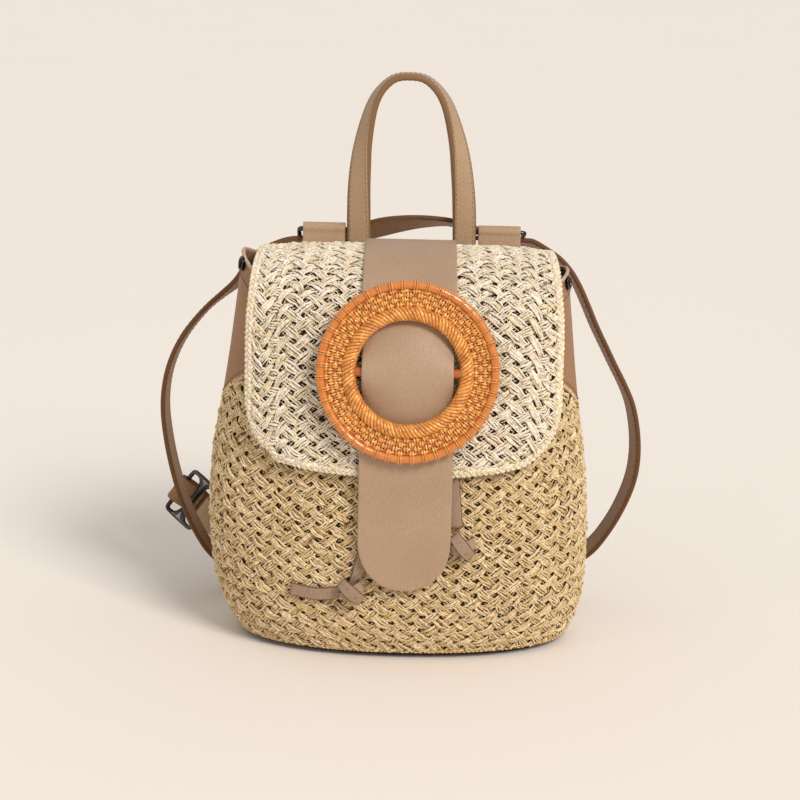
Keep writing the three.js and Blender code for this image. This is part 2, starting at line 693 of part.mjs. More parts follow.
// The rattan ring in section: a wrapped rope round the hole, a flat woven band, and a rod
// round the rim. Its crossbar sits in two sockets in the rope.
function makeRing() {
  const profile = [];
  const arc = (centre, radius, from, to, steps) => {
    for (let i = 0; i <= steps; i += 1) {
      const angle = THREE.MathUtils.degToRad(from + ((to - from) * i) / steps);
      const across = centre + radius * Math.cos(angle);
      profile.push(new THREE.Vector2(across, radius * Math.sin(angle)));
    }
  };
  const meet = THREE.MathUtils.radToDeg(Math.asin(RING_BAND_HALF_THICKNESS / RING_ROPE_RADIUS));
  arc(RING_ROPE_CENTRE, RING_ROPE_RADIUS, 360 - meet, meet, 8);
  arc(RING_OUTER_RADIUS - RING_RIM_RADIUS, RING_RIM_RADIUS, 90, -90, 4);
  profile.push(profile[0].clone());
  const ring = turnToRing(new THREE.LatheGeometry(profile.reverse(), RING_SIDES));
  return cut(ring, makeCrossbar(CROSSBAR_RADIUS + TOUCH, TOUCH));
}

// Takes a shape made about +Y to the ring's place and slope.
function turnToRing(geometry) {
  const right = RING.outwards.clone().cross(RING.down);
  const matrix = new THREE.Matrix4().makeBasis(right, RING.outwards, RING.down);
  matrix.setPosition(RING.centre);
  geometry.applyMatrix4(matrix);
  return geometry;
}

function makeCrossbar(radius = CROSSBAR_RADIUS, extra = 0) {
  const length = 2 * (RING_HOLE_RADIUS + CROSSBAR_SEAT + extra);
  return rod(RING.centre, new THREE.Vector3(1, 0, 0), radius, length, 14);
}

// Handle: two legs sewn flat to the back of the flap, turning edge-on over the top.
const FLAP_BACK_DEPTH = flapPoint(0, 0, FLAP_WALL / 2).y;

function makeHandle() {
  const depth = FLAP_BACK_DEPTH + 2 * TOUCH + HANDLE_THICKNESS / 2;
  const rise = HANDLE_TOP_HEIGHT - BAG_HEIGHT;
  const lean = (height) => HANDLE_LEAN * Math.max(0, (height - BAG_HEIGHT) / rise);
  const arch = [
    { side: 1, height: HANDLE_END_HEIGHT, roll: 0 },
    { side: 1, height: BAG_HEIGHT * FLAP_BACK_TURN, roll: 0 },
    { side: 1, height: BAG_HEIGHT + rise * 0.1, roll: 0.06 },
    { side: 0.97, height: BAG_HEIGHT + rise * 0.35, roll: 0.3 },
    { side: 0.86, height: BAG_HEIGHT + rise * 0.62, roll: 0.62 },
    { side: 0.62, height: BAG_HEIGHT + rise * 0.86, roll: 0.85 },
    { side: 0.3, height: BAG_HEIGHT + rise * 0.965, roll: 0.95 },
  ];
  const stop = (row, sign) => {
    const angle = (row.roll * Math.PI) / 2;
    return {
      point: new THREE.Vector3(sign * row.side * HANDLE_SPREAD + lean(row.height), depth, row.height),
      across: new THREE.Vector3(Math.cos(angle), sign * Math.sin(angle), 0),
    };
  };
  const top = {
    point: new THREE.Vector3(HANDLE_LEAN, depth, HANDLE_TOP_HEIGHT - HANDLE_THICKNESS / 2),
    across: new THREE.Vector3(0, -1, 0),
  };
  const left = arch.map((row) => stop(row, -1));
  const right = arch
    .map((row) => stop(row, 1))
    .reverse()
    .map((s) => ({ point: s.point, across: s.across.negate() }));
  return strip(smoothStops([...left, top, ...right], 3), HANDLE_WIDTH, HANDLE_THICKNESS);
}

// Metal rings and slides: closed wire frames with round corners, and a middle bar on a slide.
// long and across are the directions of the frame's sides.
function frameWire(centre, long, across, innerLong, innerAcross) {
  const corner = 1.4 * WIRE_RADIUS;
  const halfLong = innerLong / 2 + WIRE_RADIUS - corner;
  const halfAcross = innerAcross / 2 + WIRE_RADIUS - corner;
  const path = [];
  [[1, 1], [-1, 1], [-1, -1], [1, -1]].forEach(([longSide, acrossSide], quarter) => {
    for (let i = 0; i <= 3; i += 1) {
      const angle = THREE.MathUtils.degToRad(90 * quarter + 30 * i);
      const u = longSide * halfLong + corner * Math.cos(angle);
      const v = acrossSide * halfAcross + corner * Math.sin(angle);
      path.push(centre.clone().addScaledVector(long, u).addScaledVector(across, v));
    }
  });
  const sides = WIRE_SIDES;
  const normal = long.clone().cross(across);
  const points = path.flatMap((point, i) => {
    const before = path[(i + path.length - 1) % path.length];
    const after = path[(i + 1) % path.length];
    const out = after.clone().sub(before).normalize().cross(normal);
    return Array.from({ length: sides }, (_, k) => {
      const angle = (2 * Math.PI * k) / sides;
      const rim = point.clone().addScaledVector(out, WIRE_RADIUS * Math.cos(angle));
      return rim.addScaledVector(normal, WIRE_RADIUS * Math.sin(angle));
    });
  });
  const faces = [];
  path.forEach((_, i) => {
    const next = ((i + 1) % path.length) * sides;
    for (let k = 0; k < sides; k += 1) {
      const l = (k + 1) % sides;
      const [a, b, c, d] = [i * sides + k, i * sides + l, next + l, next + k];
      faces.push(a, c, b, a, d, c);
    }
  });
  return meshOf(points, faces);
}

// Top rings hang from tabs beside the handle, each tilted back by the strap.
const TAB_OUTER = WIRE_RADIUS + TOUCH + TAB_LEATHER;
const TOP_RING_INNER = STRAP_WIDTH + 2 * EASE + TAB_OUTER - WIRE_RADIUS;

function topRing(sign, tilt) {
  const angle = THREE.MathUtils.degToRad(tilt);
  const down = new THREE.Vector3(0, Math.sin(angle), -Math.cos(angle));
  const outwards = new THREE.Vector3(0, Math.cos(angle), Math.sin(angle));
  const depth = FLAP_BACK_DEPTH + 2 * TOUCH + HANDLE_THICKNESS + EASE + WIRE_RADIUS;
  const bar = new THREE.Vector3(sign * TAB_SPREAD, depth, TAB_BAR_HEIGHT);
  const window = bar.clone().addScaledVector(down, TAB_OUTER + EASE + STRAP_WIDTH / 2);
  const centre = bar.clone().addScaledVector(down, TOP_RING_INNER / 2 + WIRE_RADIUS);
  return { bar, down, outwards, window, centre, sign };
}

const TOP_LEFT = topRing(-1, TOP_RING_TILT_LEFT);
const TOP_RIGHT = topRing(1, TOP_RING_TILT_RIGHT);

function makeTopRing(ring) {
  const right = new THREE.Vector3(1, 0, 0);
  return frameWire(ring.centre, right, ring.down, WIRE_INNER_LENGTH, TOP_RING_INNER);
}

// A tab folded round the ring's bar, with its two layers sewn down on the flap's back.
function makeTab(ring) {
  const drop = TAB_BAR_HEIGHT - TAB_END_HEIGHT;
  const flat = FLAP_BACK_DEPTH + TOUCH - ring.bar.y;
  const bend = -TAB_BACK_BEND * TAB_OUTER;
  const meet = THREE.MathUtils.degToRad(TAB_MEET);
  const outline = new THREE.Shape();
  outline.moveTo(flat, -drop);
  outline.lineTo(flat + 2 * TAB_LEATHER, -drop);
  outline.lineTo(flat + 2 * TAB_LEATHER, bend);
  outline.lineTo(TAB_OUTER * Math.cos(meet), -TAB_OUTER * Math.sin(meet));
  outline.absarc(0, 0, TAB_OUTER, -meet, Math.PI + meet, false);
  outline.lineTo(flat, bend);
  const hole = new THREE.Path();
  hole.absarc(0, 0, WIRE_RADIUS + TOUCH, 0, 2 * Math.PI, true);
  outline.holes.push(hole);
  const geometry = new THREE.ExtrudeGeometry(outline, {
    depth: TAB_WIDTH,
    bevelEnabled: false,
    curveSegments: 10,
  });
  const matrix = new THREE.Matrix4().makeBasis(
    new THREE.Vector3(0, 1, 0),
    new THREE.Vector3(0, 0, 1),
    new THREE.Vector3(1, 0, 0),
  );
  matrix.setPosition(ring.bar.x - TAB_WIDTH / 2, ring.bar.y, ring.bar.z);
  geometry.applyMatrix4(matrix);
  return geometry;
}

// Slides at the strap's lower ends. The anchor goes round the first bar, the strap's end
// goes round the last bar and under the middle one.
function slideAt(place) {
  const long = vector(place.long);
  const out = vector(place.out);
  out.addScaledVector(long, -out.dot(long)).normalize();
  const normal = long.clone().cross(out);
  if (normal.y > 0) normal.negate();
  return { centre: routePoint(place), long, out, normal };
}

function routePoint(row) {
  return new THREE.Vector3(BELLY_HALF_WIDTH * row.x, BELLY_HALF_DEPTH * row.y, BAG_HEIGHT * row.z);
}

const SLIDE_LEFT = slideAt(LEFT_SLIDE);
const SLIDE_RIGHT = slideAt(RIGHT_SLIDE);

function makeSlide(slide) {
  const inner = 2 * (SLIDE_BAR_STEP - WIRE_RADIUS);
  const frame = frameWire(slide.centre, slide.long, slide.out, WIRE_INNER_LENGTH, inner);
  const length = WIRE_INNER_LENGTH + 2 * WIRE_RADIUS;
  const bar = rod(slide.centre, slide.long, WIRE_RADIUS, length, WIRE_SIDES);
  return geometryOf(solidOf(frame).add(solidOf(bar)));
}

// A stop by a slide: steps of one bar outwards, and height above its plane.
function atSlide(slide, step, lift) {
  const point = slide.centre.clone().addScaledVector(slide.out, step * SLIDE_BAR_STEP);
  return { point: point.addScaledVector(slide.normal, lift), across: slide.long.clone() };
}

// Stops round one bar of a slide at a distance, from one angle to another in degrees, where
// 0 is outwards and 90 is above the slide.
function roundBar(slide, step, distance, from, to) {
  return [0, 1, 2, 3, 4].map((i) => {
    const angle = THREE.MathUtils.degToRad(from + ((to - from) * i) / 4);
    const reach = step + (distance * Math.cos(angle)) / SLIDE_BAR_STEP;
    return atSlide(slide, reach, distance * Math.sin(angle));
  });
}

// The strap's end at a slide, from its tip under the middle bar to where it leaves.
function strapEnd(slide) {
  const rest = WIRE_RADIUS + TOUCH + STRAP_THICKNESS / 2;
  const below = -rest - STRAP_THICKNESS - 2 * TOUCH;
  return [
    atSlide(slide, -0.35, -rest),
    atSlide(slide, 0.1, -rest),
    atSlide(slide, 0.52, 0),
    ...roundBar(slide, 1, rest, ...STRAP_WRAP),
    atSlide(slide, 0.6, below),
    atSlide(slide, -0.1, below - TOUCH),
    atSlide(slide, -1.1, below - TOUCH),
  ];
}

function strapStops() {
  const row = (r) => ({ point: routePoint(r), across: vector(r.across) });
  const side = WIRE_INNER_LENGTH / 2 + WIRE_RADIUS;
  const clear = WIRE_RADIUS + EASE + STRAP_THICKNESS / 2;
  const through = (ring, offset, lift) => ({
    point: ring.window
      .clone()
      .add(new THREE.Vector3(ring.sign * offset, 0, 0))
      .addScaledVector(ring.outwards, lift),
    across: ring.down.clone(),
  });
  const crossing = (ring) => [
    through(ring, side + 5, -clear * 1.1),
    through(ring, side, -clear),
    through(ring, 0, 0),
    through(ring, -side, clear),
  ];
  const depth = (TOP_LEFT.window.y + TOP_RIGHT.window.y) / 2;
  const middle = [
    { point: new THREE.Vector3(-20, depth, TAB_BAR_HEIGHT), across: vector([0, 0.72, -0.7]) },
    { point: new THREE.Vector3(4, depth, TAB_BAR_HEIGHT + 4), across: vector([0, 0.86, -0.5]) },
    { point: new THREE.Vector3(26, depth, TAB_BAR_HEIGHT + 4), across: vector([0, 0.95, -0.3]) },
  ];
  return [
    ...strapEnd(SLIDE_LEFT),
    ...[...LEFT_ARM].reverse().map(row),
    ...crossing(TOP_LEFT),
    ...middle,
    ...crossing(TOP_RIGHT).reverse(),
    ...RIGHT_ARM.map(row),
    ...strapEnd(SLIDE_RIGHT).reverse(),
  ];
}

function makeStrap() {
  return strip(smoothStops(strapStops(), 2), STRAP_WIDTH, STRAP_THICKNESS);
}

// An anchor: sewn flat on the bag's back, led round the slide's first bar and folded back.
function makeAnchor(rows, slide) {
  const onBack = rows.map((row) => {
    const x = BELLY_HALF_WIDTH * row.x;
    const height = BAG_HEIGHT * row.z;
    const lift = TOUCH + ANCHOR_LEATHER / 2 + row.stand;
    const low = bagDepth(x, height - STRAP_WIDTH / 2, "back");
    const high = bagDepth(x, height + STRAP_WIDTH / 2, "back");
    const depth = Math.max((low + high) / 2, bagDepth(x, height, "back"));
    const across = new THREE.Vector3(row.turn, (high - low) / STRAP_WIDTH, 1);
    return { point: new THREE.Vector3(x, depth + lift, height), across };
  });
  const rest = WIRE_RADIUS + TOUCH + ANCHOR_LEATHER / 2;
  const lap = rest / SLIDE_BAR_STEP;
  const loop = roundBar(slide, -1, rest, ...ANCHOR_WRAP);
  const fold = ANCHOR_LAP / SLIDE_BAR_STEP;
  const start = atSlide(slide, -1 - 2.2 * lap, -0.9 * rest);
  const end = atSlide(slide, -1 - fold, 0.35 * rest);
  return strip(smoothStops([...onBack, start, ...loop, end], 2), STRAP_WIDTH, ANCHOR_LEATHER);
}

// Drawstring

// Stops of a thong that lies on the bag's front.
function thongStops(rows) {
  const lift = 2 * TOUCH + THONG_THICKNESS / 2;
  return rows.map((row) => {
    const x = BELLY_HALF_WIDTH * row.x;
    const height = BAG_HEIGHT * row.z;
    const point = new THREE.Vector3(x, -bagDepth(x, height, "front") - lift, height);
    return { point, across: new THREE.Vector3(1, 0, 0), width: row.width };
  });
}

// A thong comes out of its eyelet, over the rim and down the front of the bag.
function makeThong(place, rows) {
  const out = COLLAR_WALL / 2 + EYELET_LIP + 5 * TOUCH + THONG_THICKNESS / 2;
  const down = new THREE.Vector3(0, 0, -1).addScaledVector(place.axis, place.axis.z).normalize();
  const stop = (along, drop) => {
    const point = place.centre.clone().addScaledVector(place.axis, along);
    point.addScaledVector(down, drop);
    return { point, across: new THREE.Vector3(1, 0, 0), width: THONG_NECK };
  };
  const flange = EYELET_BARREL + EYELET_RIM;
  const start = [
    stop(0, 0),
    stop(out * 0.7, TOUCH),
    stop(out + 2 * TOUCH, EYELET_BARREL),
    stop(out + 2 * TOUCH, flange + TOUCH),
  ];
  return strip(smoothStops([...start, ...thongStops(rows)], 3), THONG_WIDTH, THONG_THICKNESS);
}

function makeTail(rows) {
  const stops = thongStops(rows).map((stop) => ({ ...stop, across: new THREE.Vector3(0, 0, 1) }));
  return strip(smoothStops(stops, 4), THONG_WIDTH, THONG_THICKNESS);
}

// A knot is a flattened ball on the bag's front.
function makeKnot(place) {
  const x = BELLY_HALF_WIDTH * place.x;
  const height = BAG_HEIGHT * place.z;
  const geometry = new THREE.SphereGeometry(1, 12, 7);
  geometry.scale(KNOT_HALF_WIDTH, KNOT_HALF_THICKNESS, KNOT_HALF_WIDTH);
  geometry.translate(x, -bagDepth(x, height, "front") - KNOT_HALF_THICKNESS - TOUCH, height);
  return geometry;
}

// Nodes

const bag = new THREE.Group();
bag.name = "straw_backpack";

function add(name, geometry, material) {
  const mesh = new THREE.Mesh(geometry, material);
  mesh.name = name;
  bag.add(mesh);
}

add("base_panel", makeBase(), BASE_LEATHER);
add("straw_body", makeStrawBody(), STRAW);
add("leather_collar", makeCollar(), LEATHER);
add("flap", makeFlap(), STRAW);
add("tongue", makeTongue(), LEATHER);
add("rattan_ring", makeRing(), RATTAN);
add("ring_crossbar", makeCrossbar(), RATTAN);
add("handle", makeHandle(), LEATHER);
for (const [name, place] of Object.entries(EYELETS)) {
  add(name, makeEyelet(place), GUNMETAL);
}
add("drawstring_left", makeThong(EYELETS.front_eyelet_left, LEFT_THONG), LEATHER);
add("drawstring_left_tail", makeTail(LEFT_TAIL), LEATHER);
add("drawstring_left_knot", makeKnot(LEFT_KNOT), LEATHER);
add("drawstring_right", makeThong(EYELETS.front_eyelet_right, RIGHT_THONG), LEATHER);
add("drawstring_right_knot", makeKnot(RIGHT_KNOT), LEATHER);
add("top_ring_left", makeTopRing(TOP_LEFT), GUNMETAL);
add("top_ring_right", makeTopRing(TOP_RIGHT), GUNMETAL);
add("ring_tab_left", makeTab(TOP_LEFT), LEATHER);
add("ring_tab_right", makeTab(TOP_RIGHT), LEATHER);
add("shoulder_strap", makeStrap(), LEATHER);
add("strap_slide_left", makeSlide(SLIDE_LEFT), GUNMETAL);
add("strap_slide_right", makeSlide(SLIDE_RIGHT), GUNMETAL);
add("strap_anchor_left", makeAnchor(LEFT_ANCHOR, SLIDE_LEFT), LEATHER);
add("strap_anchor_right", makeAnchor(RIGHT_ANCHOR, SLIDE_RIGHT), LEATHER);

export default bag;
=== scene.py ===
"""A small woven straw backpack with leather trim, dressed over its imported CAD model.

Metres, +Z up, the bag's front towards -Y. The sections follow the bag as it is put
together: drawstring, straw body, collar, flap, tongue, ring, handle, straps, metal, base.
"""
import itertools
import math

import bmesh
import bpy
import numpy as np
from mathutils import Matrix, Vector
from mathutils.bvhtree import BVHTree


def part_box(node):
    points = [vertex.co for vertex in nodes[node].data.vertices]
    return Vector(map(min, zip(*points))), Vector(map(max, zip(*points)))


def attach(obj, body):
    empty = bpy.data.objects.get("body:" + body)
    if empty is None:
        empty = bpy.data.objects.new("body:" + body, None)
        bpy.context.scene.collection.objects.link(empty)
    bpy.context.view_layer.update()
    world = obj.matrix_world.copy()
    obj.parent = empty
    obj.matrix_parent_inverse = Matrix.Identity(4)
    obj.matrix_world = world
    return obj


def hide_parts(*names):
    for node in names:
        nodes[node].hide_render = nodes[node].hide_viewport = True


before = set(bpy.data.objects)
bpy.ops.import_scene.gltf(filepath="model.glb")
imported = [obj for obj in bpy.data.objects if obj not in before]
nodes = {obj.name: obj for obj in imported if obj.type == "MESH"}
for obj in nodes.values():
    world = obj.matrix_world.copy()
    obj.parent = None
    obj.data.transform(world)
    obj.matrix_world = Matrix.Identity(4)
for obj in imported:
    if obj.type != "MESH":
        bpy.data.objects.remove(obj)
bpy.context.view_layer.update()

# The camera stands in front of the bag and a little above it, with a long lens, and is
# turned slightly, as the photographer held it.
azimuth, elevation, tilt = math.radians(0.5), math.radians(14), math.radians(1.2)
across = np.array([math.cos(azimuth), math.sin(azimuth), 0.0])
back = np.array([across[1], -across[0], 0.0]) * math.cos(elevation)
back[2] = math.sin(elevation)
top = np.cross(back, across)
stand = np.eye(4)
stand[:3, 0] = across * math.cos(tilt) + top * math.sin(tilt)
stand[:3, 1] = top * math.cos(tilt) - across * math.sin(tilt)
stand[:3, 2] = back
CAMERA_RIGHT, CAMERA_UP, CAMERA_DISTANCE = -0.0050, 0.1527, 1.35
stand[:3, 3] = CAMERA_RIGHT * across + CAMERA_UP * top + CAMERA_DISTANCE * back


def shown(name, data):
    """A new object in the scene."""
    made = bpy.data.objects.new(name, data)
    bpy.context.scene.collection.objects.link(made)
    return made


camera = shown("camera", bpy.data.cameras.new("camera"))
camera.data.lens = 91.08
camera.data.sensor_width = 36
camera.data.clip_end = 20
camera.matrix_world = Matrix(stand.tolist())
bpy.context.scene.camera = camera

# Drawstring: two ends of a soft flat thong come out of the collar's front eyelets and hang
# down the front under the flap. The left one is knotted and its tail lies to the left; the
# right one ends in a knot. Cut leather, lighter on its face than along its cut edges.


def paint(red, green, blue):
    """A colour in a photograph's 0 to 255 numbers, as every Finish takes it, made linear."""
    return tuple(((c / 255 + 0.055) / 1.055) ** 2.4 for c in (red, green, blue)) + (1.0,)


class Shade:
    """A number over a surface, worked out by shader nodes from Python's own signs."""

    def __init__(self, finish, socket):
        self.finish = finish
        self.socket = socket

    def sum(self, operation, *values):
        return self.finish.node("ShaderNodeMath", {"operation": operation}, dict(enumerate(values)))

    def __add__(self, other):
        return self.sum("ADD", self, other)

    __radd__ = __add__

    def __sub__(self, other):
        return self.sum("SUBTRACT", self, other)

    def __rsub__(self, other):
        return self.sum("SUBTRACT", other, self)

    def __mul__(self, other):
        return self.sum("MULTIPLY", self, other)

    __rmul__ = __mul__

    def step(self, low, high):
        """0 below low, 1 above high, and smooth between."""
        settings = {"interpolation_type": "SMOOTHSTEP"}
        values = {"Value": self, "From Min": low, "From Max": high}
        return self.finish.node("ShaderNodeMapRange", settings, values)


class Finish:
    """One material: a Principled shader, with the nodes that vary it over the surface."""

    def __init__(self, name, **fixed):
        self.material = bpy.data.materials.new(name)
        self.material.use_nodes = True
        self.tree = self.material.node_tree
        self.shader = self.tree.nodes["Principled BSDF"]
        for socket, value in fixed.items():
            self.shader.inputs[socket.replace("_", " ")].default_value = value
        self.place = self.node("ShaderNodeTexCoord", {}, {}, "Object")

    def node(self, kind, settings, values, out=0):
        made = self.tree.nodes.new(kind)
        for name, value in settings.items():
            setattr(made, name, value)
        for name, value in values.items():
            self.feed(made.inputs[name], value)
        return Shade(self, made.outputs[out])

    def feed(self, socket, value):
        if isinstance(value, Shade):
            self.tree.links.new(value.socket, socket)
        else:
            socket.default_value = paint(*value) if isinstance(value, tuple) else value

    def mix(self, share, one, other):
        return self.node("ShaderNodeMix", {"data_type": "RGBA"}, {0: share, 6: one, 7: other}, 2)

    def noise(self, size, detail=2.0):
        """Soft patches about as large as size, in metres."""
        values = {"Vector": self.place, "Scale": 1 / size, "Detail": detail}
        return self.node("ShaderNodeTexNoise", {}, values)

    def pores(self, size):
        values = {"Vector": self.place, "Scale": 1 / size}
        return self.node("ShaderNodeTexVoronoi", {}, values)

    def mark(self, name):
        """A value that the mesh carries under this name."""
        return self.node("ShaderNodeAttribute", {"attribute_name": name}, {}, 2)

    def done(self, height, depth, strength=1.0, **sockets):
        values = {"Height": height, "Distance": depth, "Strength": strength}
        sockets["Normal"] = self.node("ShaderNodeBump", {}, values)
        for socket, value in sockets.items():
            self.feed(self.shader.inputs[socket.replace("_", " ")], value)
        return self.material


def leather(name, pale, deep, cut, rough=0.5, grain=0.00045):
    """Smooth full-grain leather: fine pebbled grain, faint patches and edges in the cut colour (darker cut
    edges; on the collar's rim, a painted highlight).
    """
    finish = Finish(name, Specular_IOR_Level=0.35)
    patches = finish.noise(0.05, 3.0)
    fine = finish.noise(0.0011, 4.0)
    pores = finish.pores(grain)
    colour = finish.mix((patches * 0.4 + fine * 0.6).step(0.25, 0.75), pale, deep)
    colour = finish.mix(pores.step(0.5, 0.9) * 0.15, colour, cut)
    colour = finish.mix(finish.mark("edge"), colour, cut)
    return finish.done(
        pores * 0.6 + fine * 0.8,
        0.00016,
        0.6,
        Base_Color=colour,
        Roughness=rough + 0.2 * fine - 0.08 * patches,
    )


THONG_LEATHER = leather("thong leather", (170, 144, 120), (142, 114, 90), (112, 82, 58), 0.38)


def unit(ways):
    """The same ways, each of length one."""
    return ways / np.linalg.norm(ways, axis=-1, keepdims=True)


def rails(node, start):
    """The corners of a CAD strip, row by row from its end that lies towards start.

    Each row holds one face's two corners and then the other face's."""
    strip = bmesh.new()
    strip.from_mesh(nodes[node].data)
    bmesh.ops.remove_doubles(strip, verts=strip.verts, dist=1e-5)
    ends = []
    for edge in strip.edges:
        around = {e for face in edge.link_faces for e in face.edges} - {edge}
        if edge.calc_face_angle(0) < 0.1 and all(e.calc_face_angle(0) > 1.35 for e in around):
            ends.append(({v for e in around for v in e.verts}, around))
    way = Vector(start)
    corners, around = max(ends, key=lambda end: sum(v.co.dot(way) for v in end[0]))
    first = max(corners, key=lambda v: tuple(v.co))
    beside = [e.other_vert(first) for e in around if first in e.verts]
    thin, wide = sorted(beside, key=lambda v: (v.co - first.co).length)
    rows = [(first, wide, (corners - {first, wide, thin}).pop(), thin)]
    passed = set(rows[0])
    while True:
        ahead = {e.other_vert(v) for v in rows[-1] for e in v.link_edges} - passed
        if len(ahead) != 4:
            break
        passed |= ahead
        row = min(
            itertools.permutations(ahead),
            key=lambda order: sum((a.co - b.co).length for a, b in zip(rows[-1], order)),
        )
        rows.append(row)
    lines = np.array([[tuple(v.co) for v in row] for row in rows])
    strip.free()
    return lines


def run_along(line):
    """How far along a line each of its points lies."""
    return np.concatenate([[0.0], np.cumsum(np.linalg.norm(np.diff(line, axis=0), axis=1))])


def led(values, step):
    """Rows of numbers, of which the first three are a place, on a smooth even line."""
    at = run_along(values[:, :3])
    slopes = np.gradient(values, at, axis=0)
    places = np.linspace(0, at[-1], max(2, round(at[-1] / step)) + 1)
    i = np.clip(np.searchsorted(at, places, side="right") - 1, 0, len(at) - 2)
    span = (at[i + 1] - at[i])[:, None]
    t = (places - at[i])[:, None] / span
    rise = t * t * (3 - 2 * t)
    return (
        values[i] * (1 - rise)
        + values[i + 1] * rise
        + span * (t * (1 - t) ** 2 * slopes[i] - t * t * (1 - t) * slopes[i + 1])
    )


def skin(name, rings, material, edge=None, joined=False):
    """A closed skin over rings of points: capped at its ends, or joined to itself."""
    count, size = rings.shape[:2]
    mesh = bpy.data.meshes.new(name)
    ahead = [(i + 1) % count for i in range(count if joined else count - 1)]
    faces = []
    for i, k in enumerate(ahead):
        for j in range(size):
            l = (j + 1) % size
            faces.append((i * size + j, i * size + l, k * size + l, k * size + j))
    if not joined:
        faces.append(tuple(range(size)))
        faces.append(tuple((count - 1) * size + j for j in range(size)))
    mesh.from_pydata(rings.reshape(-1, 3).tolist(), [], faces)
    turned = bmesh.new()
    turned.from_mesh(mesh)
    bmesh.ops.recalc_face_normals(turned, faces=turned.faces)
    turned.to_mesh(mesh)
    turned.free()
    if edge is not None:
        values = np.broadcast_to(edge, (count, size)).ravel().astype(np.float32)
        mesh.attributes.new("edge", "FLOAT", "POINT").data.foreach_set("value", values)
    mesh.shade_smooth()
    mesh.materials.append(material)
    return shown(name, mesh)


def ribbon_rows(rows, step):
    """Middle, half width and half thickness of a strip's rows, on a smooth even line."""
    middle = rows.mean(axis=1)
    wide = (rows[:, 1] + rows[:, 2] - rows[:, 0] - rows[:, 3]) / 4
    thick = (rows[:, 0] + rows[:, 1] - rows[:, 2] - rows[:, 3]) / 4
    even = led(np.hstack([middle, wide, thick]), step)
    return even[:, :3], even[:, 3:6], even[:, 6:]


def ribbon(name, line, material, round_off=0.0009, crown=0.12):
    """A leather strip with rounded edges and slightly crowned faces along its line."""
    middle, wide, thick = line
    half = np.linalg.norm(wide, axis=1).mean()
    thin = np.linalg.norm(thick, axis=1).mean()
    bend = min(round_off, thin * 0.95)
    turns = ((1, 0), (0.7, 0.7), (0, 1))
    corner = [(1 - bend * (1 - c) / half, 1 - bend * (1 - s) / thin) for c, s in turns]
    face = [(a, 1 + crown * (1 - a * a)) for a in (0.9, 0.72, 0.36, 0, -0.36, -0.72, -0.9)]
    quarter = corner + face + [(-a, b) for a, b in reversed(corner)]
    section = np.array(quarter + [(-a, -b) for a, b in quarter])
    edge = [1, 1, 0.6] + [0] * 7 + [0.6, 1, 1]
    rings = (
        middle[:, None]
        + wide[:, None] * section[None, :, :1]
        + thick[:, None] * section[None, :, 1:]
    )
    return skin(name, rings, material, np.array(edge * 2))


def join(name, *pieces):
    """Makes one mesh of several, on the first one's object."""
    bpy.ops.object.select_all(action="DESELECT")
    for piece in pieces:
        piece.select_set(True)
    bpy.context.view_layer.objects.active = pieces[0]
    bpy.ops.object.join()
    pieces[0].name = name
    pieces[0].data.name = name
    return pieces[0]


def knot(name, node, lean):
    """A flat thong's overhand knot: one band drawn tight over another that crosses it."""
    low, high = (np.array(corner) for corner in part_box(node))
    middle = (low + high) / 2
    reach = (high[0] - low[0]) / 2
    deep = (high[1] - low[1]) / 2
    bands = []
    for turn, size, lift in ((lean, 1.25, 0.55), (lean + 1.9, 1.05, 0.2)):
        way = np.array([math.cos(turn), 0, -math.sin(turn)])
        wide = np.array([math.sin(turn), 0, math.cos(turn)])
        rows = []
        for angle in np.linspace(-0.35, math.pi + 0.35, 15):
            point = middle + way * (-math.cos(angle) * reach * size)
            point = point + np.array([0, -1, 0]) * (math.sin(angle) * deep * 1.1 + lift * 0.001)
            normal = way * (-math.cos(angle)) * 0.8 + np.array([0, -1.0, 0]) * (0.25 + math.sin(angle))
            girth = 0.0046 * (1 - 0.18 * abs(math.cos(angle)))
            rows.append(np.hstack([point, wide * girth, unit(normal) * 0.0008]))
        rows = np.array(rows)
        bands.append(ribbon(name + "_band", (rows[:, :3], rows[:, 3:6], rows[:, 6:]), THONG_LEATHER))
    return join(name, *bands)


def placed(slot, replaced, *pieces):
    """Every piece rides on the bag's one body, and stands for the CAD nodes it replaces."""
    for piece in pieces:
        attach(piece, "root")
        if replaced:
            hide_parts(*replaced)


left_hang = ribbon_rows(rails("drawstring_left", (0, 0, 1)), 0.002)
left_tail = ribbon_rows(rails("drawstring_left_tail", (1, 0, 0)), 0.002)
left_line = [np.vstack([hang[:-2], tail[2:]]) for hang, tail in zip(left_hang, left_tail)]
for k, hung, laid in ((1, 0, 2), (2, 1, 1)):
    if left_hang[k][-1][hung] * left_tail[k][0][laid] < 0:
        left_line[k][len(left_hang[0]) - 2 :] *= -1
even = led(np.hstack(left_line), 0.002)
left_line = (even[:, :3], even[:, 3:6], even[:, 6:])
left_knot = knot("knot_left", "drawstring_left_knot", 0.7)
left_thong = ribbon("thong_left", left_line, THONG_LEATHER, 0.0006)
right_line = ribbon_rows(rails("drawstring_right", (0, 0, 1)), 0.002)
right_knot = knot("knot_right", "drawstring_right_knot", 0.9)
right_thong = ribbon("thong_right", right_line, THONG_LEATHER, 0.0006)
placed("leather", ("drawstring_left", "drawstring_left_tail"), left_thong)
placed("leather", ("drawstring_left_knot",), left_knot)
placed("leather", ("drawstring_right",), right_thong)
placed("leather", ("drawstring_right_knot",), right_knot)
